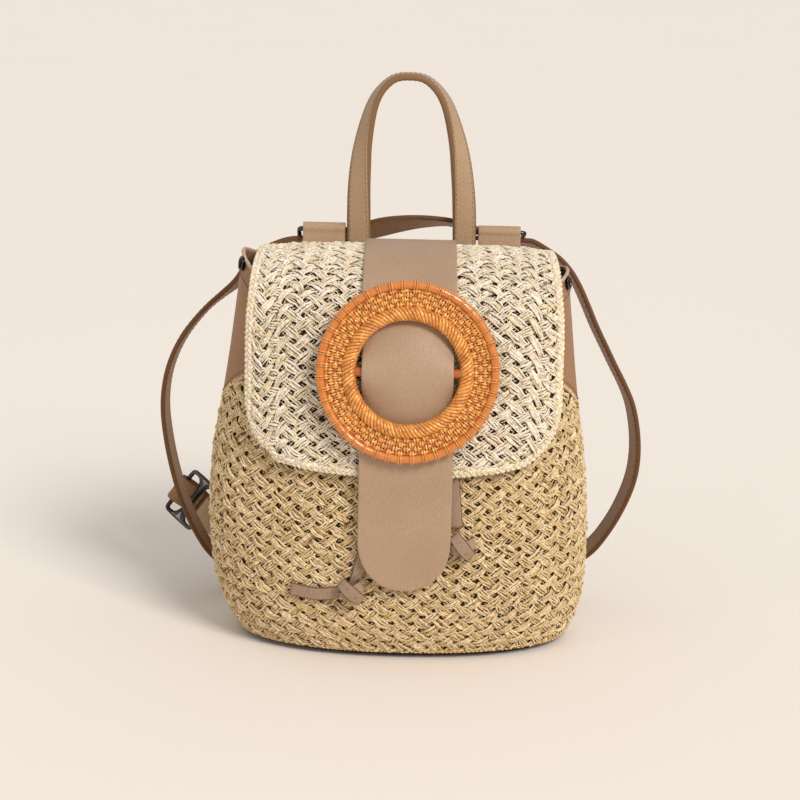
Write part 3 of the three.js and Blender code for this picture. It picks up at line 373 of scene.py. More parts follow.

# Straw body: bundles of four soft straws and a thin one, woven on the slant, round and
# round, so that a small hole is left between every four crossings. A cloth lining shows in
# the holes, coloured dark as painted shade for the shadow inside them.
STRAW_CELLS_ROUND = 46
STRAW_CELL_HEIGHT = 0.0102
STRAW_RADIUS = 0.00074
STRAW_WAVE = 0.0011
STRAW_OFFSETS = ((-0.31, 1.0), (-0.11, 1.05), (0.1, 1.0), (0.3, 1.0), (0.5, 0.36))
STRAW_STEP = 0.0029
WOVEN_HEIGHT = 0.205  # more than the straw's height anywhere, as it ends at the seam


def cad_faces(*names):
    """The CAD nodes' triangles, for casting rays at."""
    points, faces = [], []
    for name in names:
        start = len(points)
        points += [v.co[:] for v in nodes[name].data.vertices]
        faces += [[start + i for i in face.vertices] for face in nodes[name].data.polygons]
    return BVHTree.FromPolygons(points, faces)


def soften(values, passes, axis, wrap):
    """Evens out a table along one axis, so that the CAD model's facets don't show."""
    for _ in range(passes):
        ahead = np.roll(values, -1, axis)
        behind = np.roll(values, 1, axis)
        if not wrap:
            first = [slice(None)] * values.ndim
            last = list(first)
            first[axis], last[axis] = 0, -1
            behind[tuple(first)] = values[tuple(first)]
            ahead[tuple(last)] = values[tuple(last)]
        values = (ahead + 2 * values + behind) / 4
    return values


class Surface:
    """A smooth skin over CAD solids: rows and columns of points, with the way outwards."""

    def __init__(self, points, wrap, outwards):
        self.points = points
        self.wrap = wrap
        along = np.gradient(points, axis=0)
        if wrap:
            beside = np.roll(points, -1, 1) - np.roll(points, 1, 1)
        else:
            beside = np.gradient(points, axis=1)
        self.out = unit(np.cross(beside, along) * outwards)

    def at(self, row, column, lift=0.0):
        """The points at rows and columns, which may lie between those of the table."""
        rows, columns = self.points.shape[:2]
        row = np.clip(row, 0, rows - 1.001)
        column = np.mod(column, columns) if self.wrap else np.clip(column, 0, columns - 1.001)
        i, j = row.astype(int), column.astype(int)
        k = (j + 1) % columns
        down, over = (row - i)[..., None], (column - j)[..., None]

        def blend(table):
            near = table[i, j] * (1 - over) + table[i, k] * over
            return near * (1 - down) + (table[i + 1, j] * (1 - over) + table[i + 1, k] * over) * down

        out = unit(blend(self.out))
        return blend(self.points) + out * np.asarray(lift)[..., None], out


def run_of(points, axis=0):
    """How far along its lines each point of a table lies."""
    steps = np.linalg.norm(np.diff(points, axis=axis), axis=2)
    start = np.zeros_like(np.take(steps, [0], axis=axis))
    return np.concatenate([start, np.cumsum(steps, axis=axis)], axis=axis)


TURNS = 256
bag_faces = cad_faces("straw_body", "leather_collar")
bag_heights = np.linspace(0.0036, 0.2565, 86)
turn_angles = np.arange(TURNS) * 2 * math.pi / TURNS
bag_radius = np.zeros((len(bag_heights), TURNS))
for j, height in enumerate(bag_heights):
    for i, angle in enumerate(turn_angles):
        out = Vector((math.cos(angle), math.sin(angle), 0))
        hit = bag_faces.ray_cast(out * 0.3 + Vector((0, 0, height)), -out, 0.28)[0]
        bag_radius[j, i] = hit.xy.length if hit else bag_radius[j - 1, i]
bag_radius = soften(soften(bag_radius, 12, 1, True), 5, 0, False)
bag_points = np.stack(
    [
        bag_radius * np.cos(turn_angles),
        bag_radius * np.sin(turn_angles),
        np.repeat(bag_heights[:, None], TURNS, axis=1),
    ],
    axis=2,
)
bag = Surface(bag_points, True, 1)


def edge_heights(node, low, high, downwards):
    """Where a CAD node begins on the bag's outside, looking up or down, for each turn."""
    faces = cad_faces(node)
    tries = np.arange(low, high, 0.0005)
    found = []
    for angle in turn_angles:
        out = Vector((math.cos(angle), math.sin(angle), 0))
        heights = tries[::-1] if downwards else tries
        found.append(
            next(z for z in heights if faces.ray_cast(out * 0.3 + Vector((0, 0, z)), -out, 0.28)[0])
        )
    return soften(np.array(found), 14, 0, True)


seam_heights = edge_heights("straw_body", 0.13, 0.21, True)
rim_heights = edge_heights("leather_collar", 0.2, 0.262, True)


def rows_at(heights):
    """The bag surface's rows at the given heights."""
    return (heights - bag_heights[0]) / (bag_heights[1] - bag_heights[0])


def strand_tree():
    """Geometry nodes that make a round strand of every line of edges in a mesh."""
    tree = bpy.data.node_groups.new("strands along lines", "GeometryNodeTree")
    for name, kind in (
        ("Lines", "NodeSocketGeometry"),
        ("Strand radius", "NodeSocketFloat"),
        ("Sides", "NodeSocketInt"),
        ("Finish", "NodeSocketMaterial"),
    ):
        tree.interface.new_socket(name, in_out="INPUT", socket_type=kind)
    tree.interface.new_socket("Strands", in_out="OUTPUT", socket_type="NodeSocketGeometry")
    new = tree.nodes.new
    given = new("NodeGroupInput")
    result = new("NodeGroupOutput")
    curves = new("GeometryNodeMeshToCurve")
    girth = new("GeometryNodeInputNamedAttribute")
    girth.inputs["Name"].default_value = "girth"
    profile = new("GeometryNodeCurvePrimitiveCircle")
    tube = new("GeometryNodeCurveToMesh")
    tube.inputs["Fill Caps"].default_value = True
    smooth = new("GeometryNodeSetShadeSmooth")
    real = new("GeometryNodeRealizeInstances")
    finish = new("GeometryNodeSetMaterial")
    for one, out, other, into in (
        (given, "Lines", curves, "Mesh"),
        (curves, "Curve", tube, "Curve"),
        (given, "Strand radius", profile, "Radius"),
        (given, "Sides", profile, "Resolution"),
        (profile, "Curve", tube, "Profile Curve"),
        (girth, "Attribute", tube, "Scale"),
        (tube, "Mesh", smooth, "Geometry"),
        (smooth, "Geometry", real, "Geometry"),
        (real, "Geometry", finish, "Geometry"),
        (given, "Finish", finish, "Material"),
        (finish, "Geometry", result, "Strands"),
    ):
        tree.links.new(one.outputs[out], other.inputs[into])
    return tree


STRANDS = strand_tree()


def strands(name, lines, radius, material, sides=5, closed=False):
    """One piece of many strands. A line is its points, its tone and its girth."""
    points = np.vstack([line[0] for line in lines])
    sizes = [len(line[0]) for line in lines]
    starts = np.concatenate([[0], np.cumsum(sizes)[:-1]])
    edges = []
    for start, size in zip(starts, sizes):
        order = np.arange(start, start + size)
        pairs = np.column_stack([order[:-1], order[1:]])
        edges.append(np.vstack([pairs, [order[-1], order[0]]]) if closed else pairs)
    edges = np.vstack(edges)
    mesh = bpy.data.meshes.new(name)
    mesh.vertices.add(len(points))
    mesh.vertices.foreach_set("co", points.ravel())
    mesh.edges.add(len(edges))
    mesh.edges.foreach_set("vertices", edges.ravel())
    for mark, k in (("tone", 1), ("girth", 2)):
        values = np.concatenate([np.broadcast_to(line[k], size) for line, size in zip(lines, sizes)])
        mesh.attributes.new(mark, "FLOAT", "POINT").data.foreach_set("value", values.astype(np.float32))
    mesh.update()
    piece = shown(name, mesh)
    modifier = piece.modifiers.new("strands", "NODES")
    modifier.node_group = STRANDS
    inputs = {s.name: s.identifier for s in STRANDS.interface.items_tree if s.in_out == "INPUT"}
    modifier[inputs["Strand radius"]] = radius
    modifier[inputs["Sides"]] = sides
    modifier[inputs["Finish"]] = material
    graph = bpy.context.evaluated_depsgraph_get()
    made = bpy.data.meshes.new_from_object(
        piece.evaluated_get(graph), preserve_all_data_layers=True, depsgraph=graph
    )
    piece.modifiers.clear()
    piece.data = made
    made.name = name
    return piece


def straw(name, pale, mid, pink, shadow):
    """Dry straw: every strand has its own tone, with darker lengths and fine fibres."""
    finish = Finish(name, Specular_IOR_Level=0.3)
    tone = finish.mark("tone")
    patch = finish.noise(0.006, 3.0)
    fibre = finish.noise(0.0014, 4.0)
    shade = tone * 0.75 + patch * 0.35
    colour = finish.mix(shade.step(0.35, 0.8), mid, pale)
    colour = finish.mix(shade.step(0.18, 0.36), shadow, colour)
    fleck = tone * 7.3 + patch
    colour = finish.mix(fleck.sum("FRACT", fleck).step(0.6, 0.8), colour, pink)
    colour = finish.mix(fibre.step(0.54, 0.68) * 0.5, colour, shadow)
    return finish.done(
        fibre + finish.noise(0.0006, 2.0) * 0.4,
        0.0011,
        0.9,
        Base_Color=colour,
        Roughness=0.55 + 0.25 * fibre,
    )


BODY_STRAW = straw("body straw", (248, 226, 180), (212, 182, 118), (224, 190, 154), (120, 86, 44))


def weave(surface_at, reach, cell, bundles, offsets, wave, step, inside, seed, rising):
    """Slanting bundles of straws in one direction, as lines for strands().

    reach is how far the weave runs up the surface, cell is one cell's width and height,
    and each straw has its place in a bundle, as a share of a cell, and its girth. A bundle
    is wide where it crosses another one and narrow between. Thin straws lie deeper."""
    chance = np.random.default_rng(seed)
    width, cell_height = cell
    lines = []
    sign = 1 if rising else -1
    steps_up = int(math.ceil(reach / cell_height)) + 1
    fine = step / (0.5 * math.hypot(width, cell_height))
    for bundle in range(bundles[0], bundles[1] + 1):
        for offset, size in offsets:
            k = bundle + offset
            m = np.arange(-k, -k + 2 * steps_up, fine)
            drift = 0.02 * np.sin(m * 1.7 + chance.uniform(0, 6)) + 0.035 * chance.standard_normal(len(m))
            if size > 0.5:
                drift -= offset * 0.15 * (1 - np.cos(2 * math.pi * m))
            up = cell_height * (k + drift + m) / 2
            over = sign * width * (m - k - drift) / 2
            lift = sign * wave * np.cos(math.pi * (bundle + m))
            lift += wave * (0.25 * chance.standard_normal(len(m)) + 0.2 * chance.standard_normal())
            lift -= wave * 1.4 * max(0, 1 - size)
            girth = size * (1 + 0.1 * chance.standard_normal() + 0.16 * chance.standard_normal(len(m)))
            tone = chance.normal(0.57, 0.14) + 0.14 * np.sin(m * 0.7 + chance.uniform(0, 6))
            tone = np.clip(tone + 0.15 * chance.standard_normal(len(m)), 0, 1)
            keep = inside(up, over)
            cuts = np.flatnonzero(np.diff(keep.astype(int)))
            for part in np.split(np.arange(len(m)), cuts + 1):
                if len(part) > 3 and keep[part[0]]:
                    points = surface_at(up[part], over[part], lift[part])
                    lines.append((points, tone[part], np.clip(girth[part], 0.3, 1.5)))
    return lines


belly = int(rows_at(0.08))
round_run = run_along(np.vstack([bag_points[belly], bag_points[belly][:1]]))
straw_width = round_run[-1] / STRAW_CELLS_ROUND
rise_run = run_of(bag_points)
run_steps = np.arange(0, rise_run.max() + 0.001, 0.001)
row_of_run = np.stack(
    [np.interp(run_steps, rise_run[:, i], np.arange(len(bag_heights))) for i in range(TURNS)], axis=1
)


def body_row_column(up, over):
    column = np.interp(np.mod(over, round_run[-1]), round_run, np.arange(TURNS + 1))
    i = np.clip(up / 0.001, 0, len(run_steps) - 1.001)
    j = np.mod(column, TURNS)
    near, far = row_of_run[i.astype(int), j.astype(int)], row_of_run[i.astype(int) + 1, j.astype(int)]
    beside = row_of_run[i.astype(int), (j.astype(int) + 1) % TURNS]
    row = near + (far - near) * (i - i.astype(int)) + (beside - near) * (j - j.astype(int))
    return row, column


def body_at(up, over, lift):
    row, column = body_row_column(up, over)
    return bag.at(row, column, lift - STRAW_RADIUS - STRAW_WAVE * 0.6)[0]


def on_body(up, over):
    row, column = body_row_column(up, over)
    seam = np.interp(np.mod(column, TURNS), np.arange(TURNS + 1), np.append(seam_heights, seam_heights[0]))
    return (up > 0.0008) & (row < rows_at(seam - 0.0012))


# Each bundle starts at the base and winds up to the seam, one bundle for each cell.
body_cell = (straw_width, STRAW_CELL_HEIGHT)
body_bundles = (0, STRAW_CELLS_ROUND - 1)
body_straws = (STRAW_OFFSETS, STRAW_WAVE, STRAW_STEP)
for name, rising in (("rising", True), ("falling", False)):
    body_lines = weave(
        body_at, WOVEN_HEIGHT, body_cell, body_bundles, *body_straws, on_body, 11 + rising, rising
    )
    piece = strands("straw_body_" + name, body_lines, STRAW_RADIUS, BODY_STRAW, 4)
    placed("straw_body", ("straw_body",), piece)

# The lining's dark browns are painted shade: they stand for the shadow in the weave's holes.
SHADED_LINING_CLOTH = Finish("lining cloth with painted shade", Specular_IOR_Level=0.1)
thread = SHADED_LINING_CLOTH.noise(0.0009, 2.0)
SHADED_LINING_CLOTH = SHADED_LINING_CLOTH.done(
    thread,
    0.0002,
    Base_Color=SHADED_LINING_CLOTH.mix(thread.step(0.3, 0.7), (46, 31, 18), (74, 52, 30)),
    Roughness=0.85 + 0.1 * thread,
)


def bag_band(name, heights_low, heights_high, outer, inner, rows, material, rim=None, edge=None):
    """A closed band round the bag between two heights, with a wall from outer to inner."""
    columns = np.arange(0, TURNS, 2)
    shares = np.linspace(0, 1, rows)
    low, high = heights_low[columns], heights_high[columns]
    rings = []
    for share in shares:
        rings.append(bag.at(rows_at(low + (high - low) * share), columns.astype(float), -outer)[0])
    if rim:
        for drop, inset in rim:
            rings.append(bag.at(rows_at(high + drop), columns.astype(float), -inset)[0])
    for share in shares[::-1]:
        rings.append(bag.at(rows_at(low + (high - low) * share), columns.astype(float), -inner)[0])
    rings = np.stack(rings, axis=1)
    return skin(name, rings, material, edge, joined=True)


LINING_FACE, LINING_BACK = 0.0023, 0.0030
lining_foot = np.full(TURNS, 0.0045)
lining = bag_band(
    "body_lining", lining_foot, seam_heights - 0.001, LINING_FACE, LINING_BACK, 40, SHADED_LINING_CLOTH
)
placed("straw_body", ("straw_body",), lining)


def plait(line, beside, out, pitch, half, rise, seed, tone=0.6):
    """Three straws plaited along a line of even points, as lines for strands()."""
    chance = np.random.default_rng(seed)
    at = run_along(line)
    turns = 2 * math.pi * at / (at[-1] / max(1, round(at[-1] / pitch)))
    lines = []
    for phase in (0, 2 * math.pi / 3, 4 * math.pi / 3):
        over = half * np.sin(turns + phase)
        lift = rise * np.sin(2 * (turns + phase))
        shade = np.clip(tone + 0.12 * chance.standard_normal() + 0.15 * np.sin(at * 90 + phase), 0, 1)
        lines.append((line + beside * over[:, None] + out * lift[:, None], shade, 1.0))
    return lines


# Seam: a thin plaited straw cord covers the join of the straw and the leather, and the same
# cord runs round the bottom over the base's edge.
CORD_PITCH = 0.0085
turns_fine = np.arange(0, TURNS, 0.25)


def bag_cord(heights, lift):
    """An even line round the bag at given heights, with its directions."""
    rows = rows_at(np.interp(turns_fine, np.arange(TURNS + 1), np.append(heights, heights[0])))
    line, out = bag.at(rows, turns_fine, lift)
    along = np.roll(line, -1, 0) - np.roll(line, 1, 0)
    return line, unit(np.cross(along, out)), out


seam_line = bag_cord(seam_heights, -0.0006)
seam_plait = plait(*seam_line, CORD_PITCH, 0.0009, 0.0005, 3, 0.5)
seam_cord = strands("seam_cord", seam_plait, 0.0007, BODY_STRAW, 5, True)
foot_line = bag_cord(np.full(TURNS, 0.0052), -0.0009)
# The bottom cord's straws get a low tone, darker than the seam cord: painted shade where the bag meets the
# floor.
foot_plait = plait(*foot_line, CORD_PITCH, 0.0008, 0.0004, 4, 0.2)
foot_cord = strands("foot_cord", foot_plait, 0.0006, BODY_STRAW, 5, True)
placed("straw_body", None, seam_cord, foot_cord)

# Collar: a smooth brown leather band sewn on top of the straw, with a rolled rim and a hem
# for the drawstring. The rolled rim is coloured pale, a painted highlight along its top. Round
# holes are punched for its eyelets.
# The collar's cut colour is a pale tan: it colours the rolled rim as a painted highlight.
COLLAR_LEATHER = leather("collar leather", (166, 122, 86), (140, 98, 64), (190, 162, 138), 0.45)
COLLAR_THICKNESS = 0.002
rim_section = [(0.0007, -0.0002), (0.0018, -0.0005), (0.0028, 0.0002), (0.0030, 0.0011), (0.0022, 0.0020)]
COLLAR_ROWS = 14
collar_rim_highlight = [0.0] * COLLAR_ROWS + [0.2, 0.9, 1.0, 1.0, 0.6] + [0.0] * COLLAR_ROWS
collar_span = (seam_heights + 0.0004, rim_heights - 0.003)
collar_make = (0.0, COLLAR_THICKNESS, COLLAR_ROWS, COLLAR_LEATHER, rim_section)
collar = bag_band("collar", *collar_span, *collar_make, np.array(collar_rim_highlight))


def ring_axis(node):
    """The middle of a round CAD node and the way its axis points, away from the bag."""
    points = np.array([v.co for v in nodes[node].data.vertices])
    middle = (points.min(axis=0) + points.max(axis=0)) / 2
    axes = np.linalg.svd(points - points.mean(axis=0), full_matrices=False)[2]
    spans = np.ptp((points - middle) @ axes.T, axis=0)
    axis = axes[int(np.argmin(spans))]
    away = middle * (1, 1, 0) if node != "rattan_ring" else np.array([0, -1.0, 0])
    return points.mean(axis=0), axis * np.sign(axis @ away)


HOLE_RADIUS = 0.0042
EYELETS = ("side_eyelet_left", "side_eyelet_right", "front_eyelet_left", "front_eyelet_right")
for node in EYELETS:
    middle, axis = ring_axis(node)
    punch = bmesh.new()
    bmesh.ops.create_cone(
        punch, segments=28, radius1=HOLE_RADIUS, radius2=HOLE_RADIUS, depth=0.014, cap_ends=True
    )
    mesh = bpy.data.meshes.new("punch")
    punch.to_mesh(mesh)
    punch.free()
    punch = shown("punch", mesh)
    turned = Vector(axis).to_track_quat("Z", "Y").to_matrix().to_4x4()
    punch.matrix_world = Matrix.Translation(Vector(middle)) @ turned
    hole = collar.modifiers.new("hole", "BOOLEAN")
    hole.object = punch
    hole.solver = "EXACT"
    bpy.context.view_layer.objects.active = collar
    bpy.ops.object.modifier_apply(modifier=hole.name)
    bpy.data.objects.remove(punch)
placed("collar_leather", ("leather_collar",), collar)

THREAD = Finish("sewing thread", Specular_IOR_Level=0.3)
twist = THREAD.noise(0.0004, 2.0)
THREAD = THREAD.done(
    twist,
    0.0001,
    Base_Color=THREAD.mix(twist.step(0.35, 0.65), (150, 118, 84), (110, 80, 52)),
    Roughness=0.7 + 0.1 * twist,
)


def stitches(line, out, pitch=0.0032, length=0.0023, lift=0.00016, girth=1.0):
    """Short threads one after another along a line, each going in at both its ends."""
    at = run_along(line)
    starts = np.arange(pitch / 2, at[-1] - pitch / 2, pitch)
    lines = []
    for start in starts:
        places = start + length * np.array([-0.5, -0.28, 0.28, 0.5])
        points = np.column_stack([np.interp(places, at, line[:, k]) for k in range(3)])
        ways = np.column_stack([np.interp(places, at, out[:, k]) for k in range(3)])
        lines.append((points + ways * (np.array([-2.5, 1, 1, -2.5]) * lift)[:, None], 0.5, girth))
    return lines


hem_line = bag_cord(rim_heights - 0.0135, 0.00015)
lower_line = bag_cord(seam_heights + 0.0038, 0.0001)[0]
collar_sewing = stitches(hem_line[0], hem_line[2]) + stitches(lower_line, hem_line[2])
collar_stitches = strands("collar_stitches", collar_sewing, 0.00028, THREAD, 4)
placed("collar_leather", None, collar_stitches)

# Flap: the same weave in paler, coarser straw, hung over the opening from the back to half
# way down the front, with a plaited straw edge all round and a cloth lining.
FLAP_CELL_WIDTH = 0.0138
FLAP_CELL_HEIGHT = 0.0106
FLAP_STRAW_RADIUS = 0.00072
FLAP_OFFSETS = ((-0.3, 1.05), (-0.11, 1.1), (0.1, 1.05), (0.29, 1.05), (0.5, 0.4))
FLAP_WAVE = 0.0012
FLAP_STRAW_STEP = 0.0030
FLAP_STRAW = straw("flap straw", (255, 247, 226), (236, 218, 172), (246, 222, 204), (146, 116, 76))

flap_faces = cad_faces("flap")
flap_low, flap_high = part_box("flap")
flap_middle = (flap_low.x + flap_high.x) / 2
flap_turns = np.radians(np.arange(8, 236, 0.4))


def flap_hit(x, angle):
    """Where a ray that comes in at this angle from the back meets the flap's outside."""
    out = Vector((0, math.cos(angle), math.sin(angle)))
    return flap_faces.ray_cast(Vector((x, 0, 0.2)) + out * 0.2, -out, 0.19)[0]


# The flap widens from its back edge to its front, and its lines of points spread with it.
flap_reaches = []
for angle in flap_turns:
    tries = np.arange((flap_high.x - flap_low.x) / 2, 0.07, -0.0005)
    both = (next((r for r in tries if flap_hit(flap_middle + side * r, angle)), 0.0) for side in (-1, 1))
    flap_reaches.append(min(both))
flap_reaches = np.maximum.accumulate(np.array(flap_reaches))
flap_reaches = soften(np.maximum(flap_reaches, flap_reaches[flap_reaches > 0].min()), 20, 0, False)
flap_shares = np.sin(math.pi * np.linspace(-0.5, 0.5, 57))
flap_lines = []
for share in flap_shares:
    line = []
    for angle, reach in zip(flap_turns, flap_reaches - 0.0006):
        hit = flap_hit(flap_middle + share * reach, angle)
        if hit:
            line.append(tuple(hit))
    flap_lines.append(np.array(line))
ridges = [int(np.argmax(line[:, 2])) for line in flap_lines]
FLAP_STEP = 0.002


flap_starts = soften(np.array([-run_along(line)[k] for line, k in zip(flap_lines, ridges)]), 3, 0, False)
flap_ends = np.array([run_along(line)[-1] - run_along(line)[k] for line, k in zip(flap_lines, ridges)])
flap_runs = np.arange(flap_starts.min() - 0.002, flap_ends.max() + 0.004, FLAP_STEP)
flap_table = []
for line, k in zip(flap_lines, ridges):
    at = run_along(line) - run_along(line)[k]
    point = np.column_stack([np.interp(flap_runs, at, line[:, i]) for i in range(3)])
    past_end, before_start = np.maximum(0, flap_runs - at[-1]), np.minimum(0, flap_runs - at[0])
    for past, far, near in ((past_end, -1, -12), (before_start, 9, 0)):
        way = line[far] - line[near]
        point = point + past[:, None] * unit(way)
    flap_table.append(point)
flap_table = soften(soften(np.stack(flap_table, axis=1), 4, 0, False), 2, 1, False)
flap = Surface(flap_table, False, -1)
front_rows = flap_runs > 0.04
flap_over = run_of(flap_table, 1)[front_rows].mean(axis=0)
flap_over = flap_over - np.interp(0.0, flap_shares, flap_over)


def flap_row_column(up, over):
    return (up - flap_runs[0]) / FLAP_STEP, np.interp(over, flap_over, np.arange(len(flap_shares)))


def flap_at(up, over, lift):
    row, column = flap_row_column(up + flap_runs[0], over)
    return flap.at(row, column, lift - FLAP_STRAW_RADIUS - FLAP_WAVE * 0.6)[0]


def on_flap(up, over, margin=0.0016):
    run = up + flap_runs[0]
    end = np.interp(over, flap_over, flap_ends) - margin
    start = np.interp(over, flap_over, flap_starts) + margin
    inside = (over > flap_over[0] + margin) & (over < flap_over[-1] - margin)
    return inside & (run < end) & (run > start)


flap_reach = flap_runs[-1] - flap_runs[0]
flap_cell = (FLAP_CELL_WIDTH, FLAP_CELL_HEIGHT)
flap_bundles = (-8, int(flap_reach / FLAP_CELL_HEIGHT) + 9)
flap_straws = (FLAP_OFFSETS, FLAP_WAVE, FLAP_STRAW_STEP)
woven = []
for rising in (True, False):
    woven += weave(
        flap_at, flap_reach + 0.01, flap_cell, flap_bundles, *flap_straws, on_flap, 31 + rising, rising
    )
flap_weave = strands("flap_weave", woven, FLAP_STRAW_RADIUS, FLAP_STRAW, 4)


def flap_sheet(name, outer, inner, margin, material):
    """A thin sheet that follows the flap's outline, between two depths under its face."""
    rings = []
    steps = np.linspace(0, 1, 60)
    for j in range(1, len(flap_shares) - 1):
        run = flap_starts[j] + margin + (flap_ends[j] - flap_starts[j] - 2 * margin) * steps
        row = (run - flap_runs[0]) / FLAP_STEP
        column = np.full(len(row), float(j))
        face, under = flap.at(row, column, -outer)[0], flap.at(row, column, -inner)[0]
        rings.append(np.vstack([face, under[::-1]]))
    return skin(name, np.array(rings), material)


# The flap's lining has the same dark colour, painted shade in the holes.
flap_lining = flap_sheet("flap_lining", LINING_FACE + 0.0001, LINING_BACK + 0.0001, 0.001, SHADED_LINING_CLOTH)

# The outline runs down the left side, along the front, up the right side and back.
RIM_INSET = 0.0012
left_column, right_column = 1.6, len(flap_shares) - 2.6
flap_columns = np.arange(len(flap_shares))
front_columns = np.linspace(left_column, right_column, 160)
back_columns = np.linspace(right_column, left_column, 100)
left_runs = np.arange(flap_starts[2], flap_ends[2], 0.001)
right_runs = np.arange(flap_ends[-3], flap_starts[-3], -0.001)
rim_sides = (
    (left_runs, np.full(len(left_runs), left_column)),
    (np.interp(front_columns, flap_columns, flap_ends) - RIM_INSET, front_columns),
    (right_runs, np.full(len(right_runs), right_column)),
    (np.interp(back_columns, flap_columns, flap_starts) + RIM_INSET, back_columns),
)
rim_runs, rim_columns = (np.concatenate(values) for values in zip(*rim_sides))
rim_line, rim_out = flap.at((rim_runs - flap_runs[0]) / FLAP_STEP, rim_columns, -0.0011)
rim_even = led(np.hstack([rim_line, rim_out]), 0.0011)
rim_line, rim_out = soften(rim_even[:, :3], 6, 0, True), rim_even[:, 3:]
rim_along = np.roll(rim_line, -1, 0) - np.roll(rim_line, 1, 0)
rim_beside = unit(np.cross(rim_along, rim_out))
rim_plait = plait(rim_line, rim_beside, rim_out, 0.0105, 0.0017, 0.0009, 5, 0.58)
flap_rim = strands("flap_rim", rim_plait, 0.0012, FLAP_STRAW, 6, True)
placed("straw_flap", ("flap",), flap_weave, flap_lining, flap_rim)

# Tongue: one long strip of smooth tan leather that lies over the flap, goes behind the
# ring, over its crossbar and behind it again, and hangs down to a round tip.
TONGUE_LEATHER = leather("tongue leather", (183, 152, 124), (163, 133, 106), (134, 98, 66), 0.42)


def dressed(name, node, material, width, levels=1, angle=35):
    """A copy of a CAD node with its edges rounded off and its faces smoothed."""
    shape = bmesh.new()
    shape.from_mesh(nodes[node].data)
    bmesh.ops.remove_doubles(shape, verts=shape.verts, dist=1e-5)
    limits = {"angle_face_threshold": math.radians(25), "angle_shape_threshold": math.radians(70)}
    bmesh.ops.join_triangles(shape, faces=shape.faces, **limits)
    sharp = [e for e in shape.edges if e.calc_face_angle(0) > math.radians(angle)]
    if width:
        bmesh.ops.bevel(shape, geom=sharp, offset=width, segments=2, profile=0.5, affect="EDGES")
    mesh = bpy.data.meshes.new(name)
    shape.to_mesh(mesh)
    shape.free()
    mesh.shade_smooth()
    mesh.materials.append(material)
    piece = shown(name, mesh)
    if levels:
        smooth = piece.modifiers.new("smooth", "SUBSURF")
        smooth.levels = smooth.render_levels = levels
    return piece


tongue = dressed("tongue_leather", "tongue", TONGUE_LEATHER, 0.0007, 1)
placed("leather", ("tongue",), tongue)

# Ring: rattan on a round frame. A thick cord of fine cane winds round the hole, four coils
# lie round it, held by pairs of fine cane that go over and under them, and every second
# pair also lashes the glossy rod round the rim.
RING_COILS = (0.0415, 0.0443, 0.0471, 0.0499)
RING_COIL_RADIUS = 0.0011
RING_SPOKES = 88
RING_ROPE = 0.0361
RING_ROPE_RADIUS = 0.0036
RING_ROPE_STRANDS = 6
RING_ROPE_CANE_RADIUS = 0.00106
RING_SPOKE_RADIUS = 0.00072
RING_SPOKE_GAP = 0.0009
RING_LASHING_GAP = 0.0007
RING_ROPE_TURNS = 16
RING_ROD = 0.0533
RING_ROD_RADIUS = 0.0026


def cane(name, pale, mid, deep, gloss):
    """Varnished rattan: glossy, each length in its own tone, darker in streaks."""
    finish = Finish(name, Coat_Roughness=0.1, Specular_IOR_Level=0.5)
    tone = finish.mark("tone")
    streak = finish.noise(0.006, 3.0)
    fine = finish.noise(0.0008, 3.0)
    colour = finish.mix((tone * 0.8 + streak * 0.4).step(0.2, 0.8), deep, mid)
    colour = finish.mix((tone * 0.7 + fine * 0.6).step(0.65, 1.2), colour, pale)
    return finish.done(
        fine,
        0.0002,
        0.4,
        Base_Color=colour,
        Roughness=0.24 + 0.15 * fine,
        Coat_Weight=gloss - 0.2 * fine,
    )


RATTAN = cane("rattan", (244, 186, 96), (222, 142, 54), (168, 86, 24), 1.0)
RATTAN_DARK = cane("rattan rod", (232, 150, 60), (220, 130, 40), (176, 86, 20), 1.0)
ring_out = ring_axis("rattan_ring")[1]
ring_low, ring_high = (np.array(corner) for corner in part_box("rattan_ring"))
ring_middle = (ring_low + ring_high) / 2
ring_right = np.array([1.0, 0, 0])
ring_down = np.cross(ring_right, ring_out)
ring_chance = np.random.default_rng(8)


def ring_at(angle, radius, out):
    """Points on the ring: angles run clockwise from the right, as seen from the front."""
    angle, radius, out = np.broadcast_arrays(angle, radius, out)
    return (
        ring_middle
        + ring_right * (radius * np.cos(angle))[:, None]
        + ring_down * (radius * np.sin(angle))[:, None]
        + ring_out * out[:, None]
    )


rope_lines = []
for strand in range(RING_ROPE_STRANDS):
    turn = np.linspace(0, 2 * math.pi, RING_ROPE_TURNS * 20 + 1)[:-1]
    wind = RING_ROPE_TURNS * turn + strand * 2 * math.pi / RING_ROPE_STRANDS
    radius = RING_ROPE + RING_ROPE_RADIUS * np.cos(wind)
    line = ring_at(turn, radius, RING_ROPE_RADIUS * np.sin(wind))
    tone = 0.7 + 0.1 * ring_chance.standard_normal()
    tone = tone + 0.15 * ring_chance.standard_normal(len(turn))
    rope_lines.append((line, np.clip(tone, 0, 1), 1.0))
rope_core = ring_at(np.linspace(0, 2 * math.pi, 97)[:-1], RING_ROPE, 0.0)
ring_rope = strands("ring_rope", rope_lines, RING_ROPE_CANE_RADIUS, RATTAN, 6, True)

around = np.linspace(0, 2 * math.pi, 2 * RING_SPOKES + 1)[:-1]
coil_lines = []
for k, radius in enumerate(RING_COILS):
    wave = 0.0006 * np.cos(around * RING_SPOKES / 2 + k * math.pi)
    # Coils get low tones, darker than the spokes: partly their own deeper colour, partly painted shade
    # where they lie under the spokes.
    tone = np.clip(0.3 + 0.25 * ring_chance.standard_normal(len(around)), 0, 1)
    coil_lines.append((ring_at(around, radius, wave), tone, 1.0))
ring_coils = strands("ring_coils", coil_lines, RING_COIL_RADIUS, RATTAN, 8, True)

